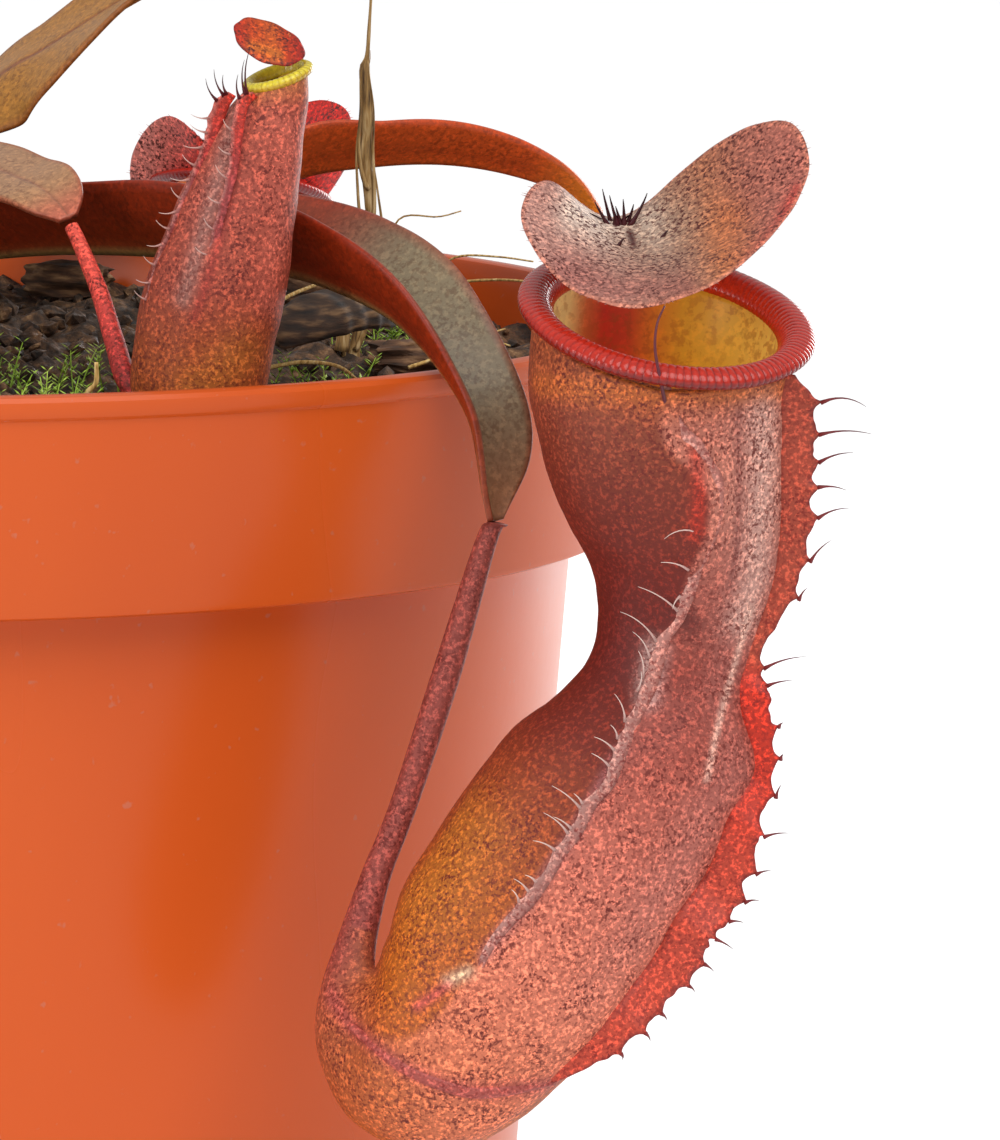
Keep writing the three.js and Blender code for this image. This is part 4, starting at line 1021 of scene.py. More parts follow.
def lid_sheet(face_at, rows, thickness, tone_at, edge_tone, seed):
    """Points, faces and tint of a lid: out along its upper face, round the rim and back below."""
    shares = np.linspace(0.02, 1, rows)
    sheets, tints = [], []
    for side, order in ((1, shares), (-1, shares[::-1])):
        share = order[:, None]
        face = face_at(share)
        # The lower face is painted a fifth darker than the upper one, as painted shade.
        tone = tone_at(face) * (1 if side > 0 else 0.8)
        rim = fade(0.95, 1.0, share) * np.ones(face.shape[:2])
        tints.append(mixed(tone, linear(edge_tone), 0.7 * rim))
        thin = thickness / 2 * np.sqrt(np.clip(1.02 - share**8, 0.02, 1))
        face[..., 2] += side * thin + 0.2 * wobble(face, 5, seed) * share
        sheets.append(face)
    points, faces, _ = skin(np.concatenate(sheets))
    return points, faces, np.concatenate(tints).reshape(-1, 3)


# Grey-pink from left to right, and the lid's marks in the same way as the cup's; the first is a painted
# highlight.
LID_TONES = [
    (74, "B08074"), (80, "A8776A"), (85, "9E7666"), (90, "906A56"), (95, "9C6246"), (99, "985A4A"),
    (105.5, "A05C50"),
]
LID_MARKS = [
    # Painted highlight: the pale sheen across the middle of the lid.
    ("D8C4B4", 0.85, 1.9, [(80.6, 168.6), (84, 167.4), (88.6, 167.2)]),
    ("8C705C", 0.6, 2.6, [(88, 166.6), (92, 167.6)]),
    ("B0602C", 0.5, 2.0, [(95.6, 165.6), (96.8, 168.4)]),
    ("B02A24", 0.65, 0.6, [(97.6, 164.6), (101.4, 168.4), (104, 172.2)]),
    ("8C4C46", 0.6, 1.6, [(78, 163.6), (84, 161.8), (91, 162.2)]),
    ("3A1416", 0.95, 0.4, [(87.6, 169.6), (88.1, 168.9)]),
    ("3A1416", 0.95, 0.4, [(86.7, 166.2), (86.9, 165.3)]),
]


def lid_tone(face):
    return marked(blend(LID_TONES, face[..., 0]), face, LID_MARKS)


def lid_face(share):
    return lid_point(LID_RIM, share * np.ones(len(LID_RIM)))


sheet = lid_sheet(lid_face, 60, 0.8, lid_tone, "BE7660", 3)
NECK_ROOT = lid_point([85.2, -75.2, 167.9], 0.86) - [0, 0, 0.9]
NECK = [NECK_ROOT, NECK_ROOT + [0.4, 4.6, 0.4]]
NECK += [MOUTH + [-3.6, 18, 8], MOUTH + [-3.2, 18, 4.6], MOUTH + [-2.9, 15.6, 1.8]]
neck = toned_tube(smooth_rows(NECK, 24), np.linspace(0.8, 1.0, 24), 16, [(0, "8C4A44")])
build("large_pitcher_lid_leaf", [sheet, neck], LID_SKIN, "lid", "large_pitcher_lid")

# %% Spurs and fine hairs of the lid
# Each row: x of the spur's foot, x and z of its tip.
SPURS = [
    (84.2, 82.9, 169.9), (84.6, 83.8, 171.2), (84.9, 85.0, 168.6), (85.2, 84.5, 170.6), (85.6, 85.2, 169.4),
    (85.9, 86.0, 170.2), (86.2, 87.2, 169.6), (86.5, 88.6, 170.9), (85.0, 86.8, 168.4), (84.3, 82.4, 168.6),
]
rng = np.random.default_rng(12)
spurs = []
for foot_x, tip_x, tip_z in SPURS:
    start = NECK_ROOT + np.array([foot_x - 85.2, rng.uniform(-0.4, 0.8), 0.9])
    tip = np.array([tip_x, start[1] - 0.8, tip_z])
    spurs.append(hair(start, tip, np.array([0.2 * (tip_x - foot_x), 0, 0.3]), 0.24, "4A1A20", "1E0C12"))
for spot in (lid_point(LID_RIM[145], 0.3), lid_point(LID_RIM[190], 0.35)):
    spurs.append(hair(spot, spot + [0.7, -0.5, 1.1], np.array([0, 0, 0.3]), 0.22, "4A1C20", "2A1016"))
for spot in LID_RIM[rng.integers(0, len(LID_RIM), 80)]:
    away = unit((spot - LID_MIDDLE) * [1, 1, 0.4])
    tip = spot + away * rng.uniform(0.2, 0.6)
    spurs.append(hair(spot - away * 0.1, tip, np.zeros(3), 0.05, "A06860", "C09088", 3))
build("large_pitcher_spurs", spurs, HAIR_SKIN, "lid")

# %% [markdown]
# ## The pitchers at the back and left
# They are younger pitchers of the same growth. So the large one's meshes are copied, scaled,
# mirrored for the back one, and hung from the tips of their own leaves.

# %% Copies of the hanging pitcher
TENDRIL_TOP = Vector((73, -76.9, 134.5)) * MM
TIP_REACH = 106.05 * MM
# Name, the leaf's heading, its drop in mm, the scale, a turn in degrees, and whether it is mirrored.
HANGING = [("back", 68, 0.4, 0.76, 0, True), ("left", 205, 0.2, 0.76, 251, False)]
COPIED = [
    ("body", "cup", True), ("wings", "cup", False), ("hairs", "cup", False),
    ("mouth", "ring", True), ("lid_leaf", "lid", True), ("spurs", "lid", False),
]


def hung(source, name, heading, drop, scale, degrees, mirrored):
    """A copy of a mesh with its tendril's top at the tip of the leaf with that heading."""
    way = math.radians(heading)
    target = Vector((TIP_REACH * math.cos(way), TIP_REACH * math.sin(way), TENDRIL_TOP.z - drop * MM))
    shape = Matrix.Diagonal((scale, -scale if mirrored else scale, scale, 1))
    place = Matrix.Translation(target) @ Matrix.Rotation(math.radians(degrees), 4, "Z") @ shape
    mesh = source.data.copy()
    mesh.transform(place @ Matrix.Translation(-TENDRIL_TOP))
    if mirrored:
        mesh.flip_normals()
    piece = bpy.data.objects.new(name, mesh)
    bpy.context.collection.objects.link(piece)
    return piece


# The back lid's tip and roll in degrees, and how much it is enlarged.
LID_TIP, LID_ROLL, LID_GROWTH = -32, 9, 1.18


def turn_to_sun(mesh):
    """The back lid looks more to the front, and it is redder towards the sun."""
    middle = Vector((0.043, 0.1, 0.163))
    shift = Matrix.Translation(middle + Vector((-0.0008, 0, -0.0006)))
    roll = Matrix.Rotation(math.radians(LID_ROLL), 4, "Y")
    tip = Matrix.Rotation(math.radians(LID_TIP), 4, "X") @ Matrix.Scale(LID_GROWTH, 4)
    mesh.transform(shift @ roll @ tip @ Matrix.Translation(-middle))
    for vertex, paint in zip(mesh.vertices, mesh.color_attributes["tint"].data):
        share = min(1, max(0, (vertex.co.x - middle.x + 0.002) / 0.008))
        paint.color = (*(linear("BC7068") * (1 - share) + linear("C4241A") * share), 1)


for place_name, *placing in HANGING:
    for source_name, slot, stands_for in COPIED:
        source = bpy.data.objects["large_pitcher_" + source_name]
        piece = hung(source, f"{place_name}_pitcher_{source_name}", *placing)
        if place_name == "back" and slot == "lid":
            turn_to_sun(piece.data)
        dress(piece, None, slot, *([f"{place_name}_pitcher_{slot}"] if stands_for else []))

# %% [markdown]
# ## Leaves
# A leaf is a long strap with a raised midrib below and a shallow groove above. Its rows give the
# keel's distance from the stem, its height, and the width and lift of each half. The upper face,
# the lower face, the midrib and the edge each have a tone of their own.

# %% Leaf blades
# How far the midrib stands out below the widest part of a leaf, in mm.
RIB_HEIGHT = 0.55


def leaf_blade(heading, rows, tones, flush=0.0, count=150, thickness=0.7):
    """A leaf. tones: upper, lower, midrib, edge and tip. flush reddens the upper face at the root."""
    table = smooth_rows([[row[0], row[1], 0.0, *row[2:]] for row in rows], count)
    way = math.radians(heading)
    out = np.array([math.cos(way), math.sin(way), 0])
    side = np.array([-out[1], out[0], 0])
    keel = table[:, :1] * out + np.outer(table[:, 1], [0, 0, 1])
    tangent = unit(np.gradient(keel, axis=0))
    normal = unit(np.cross(tangent, side))
    shares = np.array([0.045, 0.1, 0.25, 0.45, 0.65, 0.85, 0.97, 1])
    shares = np.concatenate([-shares[::-1], [0], shares])
    share = np.abs(shares)
    near = shares < 0
    width = np.where(near[None], table[:, 3:4], table[:, 5:6])
    lift = np.radians(np.where(near[None], table[:, 4:5], table[:, 6:7]) * (0.75 + 0.3 * share))
    ripple = 0.25 * wobble(keel, 9, heading)[:, None] * share**2
    face = (
        keel[:, None, :]
        + side * (np.sign(shares) * width * share * np.cos(lift))[..., None]
        + normal[:, None, :] * (width * share * np.sin(lift) + ripple)[..., None]
    )
    span = np.gradient(face, axis=1)
    upward = unit(np.cross(tangent[:, None, :], span))
    thick = thickness / 2 * np.where(share > 0.98, 0.45, 1)
    rib = RIB_HEIGHT * peak(shares, 0.07) * np.clip(width[:, :1] / 8, 0, 1)
    top = face + upward * (thick - 0.3 * rib)[..., None]
    bottom = face - upward * (thick + rib)[..., None]
    rings = np.concatenate([top, bottom[:, ::-1]], 1)
    points, faces, uv = skin(rings)
    upper, lower, midrib, edge, tip = (linear(code) for code in tones)
    ribs = peak(shares, 0.06)[None] * np.ones((count, 1))
    edges = fade(0.93, 0.99, share)[None] * np.ones((count, 1))
    along = np.linspace(0, 1, count)[:, None] * np.ones((1, len(shares)))
    tints = []
    for tone in (upper, lower):
        paint = mixed(np.ones((count, len(shares), 1)) * tone, tip, fade(0.86, 1, along))
        paint = mixed(paint, lower, flush * fade(0.72, 0.58, along))
        paint = mixed(paint, midrib, 0.75 * ribs)
        tints.append(mixed(paint, edge, 0.7 * edges))
    tint = np.concatenate([tints[0], tints[1][:, ::-1]], 1)
    return points, faces, uv, tint.reshape(-1, 3)


def lowered(rows, drop):
    return [[s, z - drop, *rest] for s, z, *rest in rows]


def arching_leaf(reach, root_height, arch, width, tip_drop):
    """Rows of a leaf that arches up and over, with waved edges."""
    rows = []
    for i in range(9):
        t = i / 8
        half = 1.2 + width * math.sin(math.pi * min(1, 0.12 + 0.9 * t)) ** 0.8
        rise = arch * math.sin(math.pi / 2 * min(1, t * 1.7)) - tip_drop * t**3
        lift, wave = 24 - 10 * t, LEAF_WAVE * math.sin(1.9 * i)
        rows.append([ROOT + (reach - ROOT) * t, root_height + rise, half, lift + wave, half, lift - wave])
    return rows


# %% Leaf rows
# How far from the stem's middle a hidden leaf starts, and how far its edges' lift varies in degrees.
ROOT, LEAF_WAVE = 7.5, 5
# Each row: distance from the stem, height, then width and lift of the near half and of the far half.
LEAF_A = [
    [7.5, 152.6, 3, 35, 3, 35], [16, 155.8, 6, 40, 6, 38], [28.2, 157.9, 7.4, 50, 8.5, 36],
    [40.2, 159.4, 8.4, 56, 10, 36], [57, 160.3, 9, 62, 11, 36], [73.8, 159.7, 8.6, 64, 11, 36],
    [82.2, 158.4, 7.6, 62, 10.2, 38], [89.4, 156.2, 6.2, 60, 9.2, 40], [94.6, 153.1, 4.6, 58, 8, 40],
    [99, 149.2, 3, 56, 7.2, 38], [102, 145.4, 2.3, 50, 6.6, 32], [103.2, 141.7, 1.9, 45, 6, 28],
    [104, 138, 1.3, 40, 4.2, 28], [105.2, 134.6, 1, 30, 1.3, 30],
]
LEAF_B = [
    [7.5, 151, 3, 30, 3, 30], [18, 156.2, 4.6, 40, 5.5, 30], [30, 158.6, 5, 34, 6, 28],
    [44, 158.6, 5.8, 28, 6.4, 24], [59, 163.4, 7.6, 48, 7.4, 24], [69, 164.6, 7.2, 44, 7.2, 22],
    [77, 164.7, 6.6, 44, 6.8, 20], [84, 163.8, 5.8, 42, 6, 18], [90.6, 162, 4.4, 38, 4.6, 18],
    [95, 160, 2.8, 34, 3, 18], [98.6, 157.2, 1.2, 30, 1.2, 20],
]
LEAF_C = [
    [7.5, 162, 2.6, -10, 2.6, 10], [13, 169.5, 5, -28, 5, 14], [20.4, 176.7, 9.6, -40, 8, 16],
    [26, 180.1, 9.8, -26, 8.5, 20], [32.3, 184.2, 9.4, -14, 8.6, 24], [38, 187.6, 9, -4, 8.6, 24],
    [46, 191.9, 8.4, 2, 8, 22], [54, 195.9, 6.6, 4, 6.4, 18], [60, 198.6, 4.4, 4, 4.2, 14],
    [65, 200.6, 1.4, 0, 1.4, 10],
]
LEAF_D = [
    [7.5, 166.2, 2.4, 10, 2.4, 16], [15, 168.4, 4.4, 0, 4.4, 18], [25, 169.2, 5.4, -14, 5.4, 14],
    [34, 168.9, 5.9, -20, 5.6, 16], [41, 168, 5.4, -20, 5.2, 18], [47, 167.2, 4.4, -18, 4.6, 28],
    [51, 165.8, 3, -20, 3.4, 32], [53.4, 164.4, 1.1, -20, 1.1, 30],
]
LEAF_BACK = [
    [7.5, 149.6, 3, 12.5, 3, 12.5], [16, 150.8, 6, 12, 6, 11], [28, 151.4, 7.4, 11, 8, 10],
    [44, 151.4, 8.4, 10, 9, 9], [60, 151.4, 8.6, 10, 9.4, 9], [76, 151.4, 8.2, 10, 9, 9],
    [86, 151.5, 7.4, 11, 8.4, 10], [93, 151.4, 6, 13, 7, 12], [96.6, 150.2, 4.8, 15, 6, 13],
    [99.6, 147.4, 3.4, 18, 5.4, 14], [102, 143.8, 2.3, 20, 4.6, 15], [103.2, 140.1, 1.9, 20, 3.8, 14],
    [104, 136.4, 1.3, 18, 2.8, 14], [104.9, 134, 1, 15, 1.3, 15],
]
# upper face, lower face, midrib, edge, tip
RED_BACKED = ("82745C", "84290E", "9A8A54", "8A2A14", "8E5E40")
ORANGE = ("C46428", "D05420", "B8501C", "B84018", "E08420")
BRONZE = ("A06C2C", "A06626", "6A2410", "8A4A24", "A06030")
PALE = ("A07654", "94583C", "8A5A44", "A04A34", "B0604A")
OLIVE = ("7A7A3C", "8A6A34", "A8883C", "8A3A1E", "A05A30")
LEAVES = [
    ("leaf_front_strap", -46.5, LEAF_A, RED_BACKED, 0.9),
    ("leaf_right_back", 20, LEAF_B, ORANGE),
    ("leaf_tall_right", -15, LEAF_C, BRONZE),
    ("leaf_front_short", -60, LEAF_D, PALE),
    ("leaf_back", 68, LEAF_BACK, ("8C9068", "8A7A48", "A8A878", "9A5A34", "8C5A48")),
    ("leaf_back_left", 118, arching_leaf(88, 163, 26, 9.5, 22), OLIVE),
    ("leaf_left", 158, arching_leaf(80, 168, 30, 9, 12), OLIVE),
    ("leaf_left_strap", 205, lowered(LEAF_A, 0.2), RED_BACKED, 0.9),
    ("leaf_front_left", 252, arching_leaf(84, 163, 17, 9, 20), OLIVE),
]
for name, *shape in LEAVES:
    blade = add_mesh(name + "_blade", *leaf_blade(*shape))
    dress(blade, LEAF_SKIN, "leaf", name)

# %% [markdown]
# ## The small pitcher
# It stands on the soil and is fed by the tendril of the short front leaf. It has the same make as
# the large one, but it is a slim upright cone with a narrow yellow rim and a small lid.

# %% Small cup
# Each row: x and z of the left edge, x and z of the right edge.
SMALL_Y = -64
SMALL_BODY = [
    [38.2, 143.4, 45.2, 143.4], [34.8, 144.8, 47.5, 144.6], [33.2, 147.6, 48.2, 147.4],
    [33.5, 152.5, 48.9, 152], [34.2, 157, 49.9, 156.5], [35.5, 161.5, 50.6, 161.4],
    [37.2, 165.7, 51, 165.8], [39.1, 170.4, 51.5, 170.5], [41.2, 174.9, 51.9, 175],
    [43.5, 178.4, 52.3, 179], [45.6, 180.7, 52.3, 182.8],
]
SMALL_MOUTH = np.array([49, SMALL_Y, 182])
SMALL_ACROSS, SMALL_ALONG = np.array([3.15, 0, 1.05]), np.array([0, 3, 0.5])
SMALL_TONES = [
    (0, "98481C"), (0.2, "9A4A26"), (0.4, "944230"), (0.7, "984638"), (0.92, "A04A38"), (1, "A8663A"),
]
SMALL_TENDRIL = [
    [27, -47.4, 163.6], [28, -49, 161.6], [30, -53.5, 157], [31.6, -58.5, 151.9], [33, -62.5, 148],
    [36, SMALL_Y, 145.4],
]
# Marks seen from the front, as on the large cup.
SMALL_MARKS = [
    ("8A6A62", 0.6, 0.9, [(44.4, 178.5), (42.6, 172), (40.4, 164), (38.6, 158)]),
    ("8A2A26", 0.6, 0.5, [(45.6, 179), (44.6, 174.4), (43.4, 168), (41.2, 160), (39.8, 156)]),
    ("BC6050", 0.5, 1.6, [(48, 158), (49.6, 168), (50, 177)]),
    ("B8702E", 0.5, 2.4, [(40, 148), (45, 152)]),
]


def small_cup(count=90, sides=96, first_hollow=18):
    """Its outer wall and, from one ring on, its inner wall."""
    rows = smooth_rows([section_row([*row, SMALL_Y], 0.9, 0) for row in SMALL_BODY], count)
    centre, across, along = axes_of(rows)
    angles, rise = round_angles(sides), np.linspace(0, 1, count)
    between = peak(wrapped(angles + 2.35), 0.3)
    grow = 1 - 0.05 * between * fade(0, 0.2, rise)[:, None] * fade(1, 0.9, rise)[:, None]
    outside = ovals(centre, across, along, angles, grow)
    outside += unit(outside - centre[:, None]) * (0.18 * wobble(outside, 4, 2))[..., None]
    shrink = 1 - CUP_WALL / np.linalg.norm(across, axis=1)
    inside = centre[:, None] + (outside - centre[:, None]) * shrink[:, None, None]
    tint = blend(SMALL_TONES, rise)[:, None] * np.ones((1, sides, 1))
    tint = marked(tint, outside, SMALL_MARKS, fade(0.5, 2, SMALL_Y - outside[..., 1]))
    inner = np.ones((count - first_hollow, sides, 1)) * linear("B8902E")
    points, faces, _ = skin(np.concatenate([outside, inside[first_hollow:][::-1]]))
    return points, faces, np.concatenate([tint, inner]).reshape(-1, 3)


tendril_tones = [(0, "D85040"), (0.5, "C04038"), (1, "7A1E1E")]
small_tendril = toned_tube(smooth_rows(SMALL_TENDRIL, 50), np.linspace(0.8, 1.35, 50), 16, tendril_tones)
build("small_pitcher_body", [small_cup(), small_tendril], CUP_SKIN, "cup", "small_pitcher_cup")

# %% Small pitcher's wings and hairs
# Rows: x, y, z and reach. Each wing has a short pointed lobe at its top, with dark hairs.
SMALL_RIGHT_WING = [
    [46.3, -67, 180.4, 0.3], [45.2, -68.4, 179.4, 0.9], [44.6, -69, 177, 0.8], [43.9, -69.6, 172, 0.6],
    [42.6, -70, 167, 0.5], [41.2, -70, 161, 0.5], [40, -69.8, 157, 0.3],
]
SMALL_LEFT_WING = [
    [43.9, -65.4, 180.2, 0.4], [43, -65.6, 178.6, 1.2], [41.9, -66, 175.2, 1], [40.4, -66, 171.6, 0.8],
    [38.9, -66, 167.6, 0.9], [37, -66, 162.6, 1], [35.6, -66, 158.4, 0.8], [35, -66, 155.6, 0.4],
]
# Each row: x and z of the foot, x and z of the tip, and 1 for a dark hair.
SMALL_HAIRS = [
    [43.1, 179.8, 41.9, 182.9, 1], [42.6, 179.2, 41, 181.9, 1], [43.4, 180.1, 42.9, 182.3, 1],
    [41.6, 177.4, 39.4, 178, 0], [41.2, 175.9, 39.3, 176.9, 0], [40.6, 174.2, 38.6, 174.6, 0],
    [40, 172.4, 38.5, 173.6, 0], [39.3, 170.6, 37.2, 171, 0], [38.6, 168.7, 37.3, 170, 0],
    [38, 167, 36, 167.2, 0], [37.2, 165.3, 35.7, 166.4, 0], [36.4, 163.4, 34.7, 163.6, 0],
    [35.7, 161.4, 34.4, 162.4, 0], [35, 159.4, 33.6, 159.8, 0], [34.6, 157.6, 33.4, 158.6, 0],
]
SMALL_FRONT_HAIRS = [
    [45.4, 181, 45.7, 185.4, 1], [45.2, 180.4, 45.1, 184.2, 1], [44.9, 179.8, 44.4, 182.6, 1],
    [44.2, 176.6, 42.8, 177.8, 0], [43.8, 174, 42.3, 174.8, 0], [43.2, 171.4, 42, 172.8, 0],
    [42.6, 168.6, 41.2, 169.4, 0], [41.9, 165.8, 40.8, 167, 0], [41.2, 163, 39.9, 163.8, 0],
]


def small_wing_tones(foot, level):
    tint = blend([(150, "8A3A34"), (170, "8A3A3A"), (176, "A03028"), (181, "B83424")], foot[:, 2])
    return mixed(tint, linear("A87A70"), np.full(len(foot), 0.4 * (level > 0.8)))


blades, hairs = [], []
for rows, feet in ((SMALL_RIGHT_WING, SMALL_FRONT_HAIRS), (SMALL_LEFT_WING, SMALL_HAIRS)):
    blade, roots = wing_blade(smooth_rows(rows, 200), feet, -1, 0.25, 4, small_wing_tones, 0.45)
    blades.append(blade)
    for root, (x, z, tip_x, tip_z, dark) in zip(roots, feet):
        tip = np.array([tip_x, root[1] - 0.4, tip_z])
        bow = np.array([z - tip_z, 0, tip_x - x]) * 0.14
        radius, tints = (0.12, ("5A1E22", "2A1218")) if dark else (0.09, ("B07C74", "E4C8BC"))
        hairs.append(hair(root, tip, bow, radius, *tints))
build("small_pitcher_wings", blades, CUP_SKIN, "cup")
build("small_pitcher_hairs", hairs, HAIR_SKIN, "cup")

# %% Small pitcher's rim and lid
add_ring(
    "small_pitcher_mouth", "small_ring", "small_pitcher_ring",
    (SMALL_MOUTH, SMALL_ACROSS, SMALL_ALONG, 0.75, 0.62, 0), 36, ("B0981C", "D4C238", "D8BC34", "B88A24"),
)


def small_lid_point(a, b):
    """The lid is a small leaf, tipped down to the front and cupped a little."""
    a, b = np.asarray(a, float), np.asarray(b, float)
    height = 185.7 - 1.1 * a - 2.1 * b + 0.35 * a * a
    return np.stack([47.9 + 3.9 * a, SMALL_Y - 0.3 - 2.8 * b, height], -1)


def small_lid_face(share):
    turns = round_angles(96)
    share = share * (1 + 0.03 * np.sin(3 * turns + 1) + 0.02 * np.sin(8 * turns))
    return small_lid_point(share * np.cos(turns), share * np.sin(turns))


def small_lid_tone(face):
    stops = [(44, "9A2016"), (46.5, "AA3E14"), (48.5, "B04E1C"), (50, "A43014"), (52, "8A1814")]
    return marked(blend(stops, face[..., 0]), face, [("C06C28", 0.6, 0.5, [(46, 185.2), (49, 184.2)])])


small_sheet = lid_sheet(small_lid_face, 24, 0.7, small_lid_tone, "7A1412", 5)
SMALL_NECK = [small_lid_point(0.5, -0.5), [51.3, -61.2, 185], [51.5, -59.3, 184.4]]
SMALL_NECK += [[51.5, -59.1, 182.4], [50.8, -60.6, 181.2]]
small_neck = toned_tube(smooth_rows(SMALL_NECK, 24), np.linspace(0.6, 0.45, 24), 12, [(0, "A8502A")])
build("small_pitcher_lid_leaf", [small_sheet, small_neck], LID_SKIN, "lid", "small_pitcher_lid")

# %% [markdown]
# ## The bud, the stem and what lies on the soil
# The right-hand leaf ends in a tendril with an unopened bud. The stem is a short green-brown
# column with leaf scars. A dry stick, bark chips, straws, a curled dead leaf and moss lie about.

# %% Bud
bud_way = math.radians(20)
# Each row: distance from the stem, height and radius.
BUD = [
    [98.6, 157.4, 0.8], [101.4, 150, 0.85], [102.4, 138, 0.9], [102, 126, 1.1], [103, 121, 1.5],
    [105.6, 121.5, 2.4], [107, 127, 3], [107.6, 134, 2.8], [107.4, 139, 2], [107, 141, 0.8],
]
BUD_TONES = [(0, "D0701E"), (0.25, "9A4A3C"), (0.6, "B8844A"), (1, "A8502E")]
bud_rows = smooth_rows([[s * math.cos(bud_way), s * math.sin(bud_way), z, r] for s, z, r in BUD], 90)
bud = toned_tube(bud_rows[:, :3], bud_rows[:, 3], 24, BUD_TONES)
build("bud_and_tendril", [bud], CUP_SKIN, "cup", "bud_with_tendril")

# %% Bark and dead wood
def dead_wood(name, dark, mid, pale, grain_mm, stretch=(1, 1, 0.12)):
    """Dry plant matter: fibres along the piece, greyed where it has weathered."""
    material, tree, shader, place = new_material(name)
    drawn_out = add_node(tree, "Mapping", {"Vector": place, "Scale": stretch})
    fibres = add_node(tree, "TexNoise", {"Vector": drawn_out, "Scale": 1 / (grain_mm * MM), "Detail": 5.0})
    tones = [(0.3, dark), (0.5, mid), (0.7, pale)]
    feed(tree, shader, {
        "Base Color": add_node(tree, "ValToRGB", {"Fac": fibres}, stops=tones),
        "Normal": add_node(tree, "Bump", {"Height": fibres, "Strength": 0.7, "Distance": 0.0004}),
        "Roughness": 0.85,
    })
    return material


DRY_STEM = dead_wood("dry_stem", "4A341E", "A07C48", "D0B484", 0.5)
BARK = dead_wood("pine_bark", "21150D", "5A3C26", "A07A54", 0.9, (0.2, 0.2, 1))
DEAD_LEAF = dead_wood("dead_leaf", "160F0A", "3E2A1B", "80603F", 0.8, (0.2, 0.2, 1))
STRAW = dead_wood("straw", "8A6A34", "C9A25C", "E4CC90", 0.4)
GREEN_STEM = dead_wood("green_stem", "4A4426", "76703C", "96905A", 0.8)

# %% Stem
STEM_LINE = [[0, 0, 119], [0, 0, 140], [0.2, 0, 160], [0.5, 0, 174], [0.6, 0, 181]]
stem_radii = np.interp(np.linspace(0, 1, 60), [0, 0.34, 0.66, 0.88, 1], [5.5, 5.5, 4.8, 3.7, 1.6])
points, faces = tube(smooth_rows(STEM_LINE, 60), stem_radii, 32)
# Old leaves have left low rings, which stand 0.35 mm out and come every 7 mm.
SCAR_HEIGHT, SCAR_PACE = 0.35, 0.9
scars = SCAR_HEIGHT * np.maximum(0, np.sin(points[:, 2] * SCAR_PACE)) ** 6
points = points + unit(points * [1, 1, 0]) * scars[:, None]
build("stem_body", [(points, faces)], GREEN_STEM, "stem", "stem")

# %% Dry stick
# Each row: x, y, z and radius before it is thinned.
STICK = [
    [61.6, 10, 132.5, 1], [62, 10, 142, 0.9], [63.3, 10, 150, 0.7], [64, 10, 156.5, 0.6],
    [63.6, 10, 162, 0.75], [63.2, 10, 167, 0.85], [63.3, 10, 172, 1], [62.9, 10, 176.5, 0.8],
    [63.2, 10, 178.2, 0.35], [63.4, 10, 182, 0.25], [63.6, 10, 187, 0.2], [63.4, 10, 191, 0.12],
]
# Split fibres stand off the stick: first and last row, how far aside, and radius.
FIBRES = [
    (20, 70, 1.3, 0.35), (28, 84, -1.3, 0.3), (48, 88, 0.8, 0.25), (10, 52, -1.4, 0.35), (56, 86, -0.9, 0.3),
]
stick_rows = smooth_rows(STICK, 110)
stick_line = stick_rows[:, :3]
stick_parts = [tube(stick_line, 0.8 * stick_rows[:, 3] * (1 + 0.25 * wobble(stick_line, 2, 1)), 14)]
for low, high, aside, radius in FIBRES:
    part = stick_line[low:high].copy()
    t = np.linspace(0, 1, len(part))
    part[:, 0] += aside * np.sin(np.pi * t**0.7) ** 0.8 * 0.9 + 0.3 * aside * t
    part[:, 1] -= 0.6
    stick_parts.append(tube(part, radius * (1.1 - t), 6))
# A thin side strand leans away from the foot.
strand = smooth_rows([[60.5, 8, 143.5], [61.4, 8, 150], [62.8, 9, 157]], 20)
stick_parts.append(tube(strand, np.linspace(0.9, 0.3, 20), 8))
build("dry_stick_wood", stick_parts, DRY_STEM, "dead_plant", "dry_stick")

# %% Bark chips
# Each row: x, y, length, width, height, turn in degrees and the seed of its roughness.
CHIPS = [
    [61, 58, 16, 8, 9, 133, 3], [14, -76, 11, 7, 5, 80, 5], [68, -6, 9, 6, 4.4, 20, 8],
    [-40, 50, 12, 7, 5.6, 110, 11], [-62, -28, 10, 6, 5, 60, 14], [30, 66, 10, 7, 5, 150, 17],
]


def bark_chip(index, x, y, length, width, height, degrees, seed):
    """A cube, stretched, divided and pushed about until it is a broken flake."""
    select_none()
    bpy.ops.mesh.primitive_cube_add(size=2)
    chip = bpy.context.object
    chip.name = chip.data.name = f"bark_flake_{index}"
    bpy.ops.object.mode_set(mode="EDIT")
    bpy.ops.mesh.select_all(action="SELECT")
    bpy.ops.mesh.subdivide(number_cuts=9)
    bpy.ops.object.mode_set(mode="OBJECT")
    turn = Matrix.Rotation(math.radians(degrees), 3, "Z")
    middle = Vector((x, y, soil_height(x, y) + height / 2 + 1))
    for vertex in chip.data.vertices:
        p = vertex.co
        round_off = 1 - 0.28 * (p.y**2 + p.z**2) / 2 - 0.2 * abs(p.x) ** 3
        rough = 1 + 0.3 * noise.noise(p * 1.6 + Vector((seed, 0, 0))) + 0.14 * noise.noise(p * 5)
        local = Vector((p.x * length / 2, p.y * width / 2 * round_off, p.z * height / 2 * round_off))
        vertex.co = (middle + turn @ (local * rough)) * MM
    return chip


for i, row in enumerate(CHIPS, 1):
    dress(bark_chip(i, *row), BARK, "dead_plant", f"bark_chip_{i}")

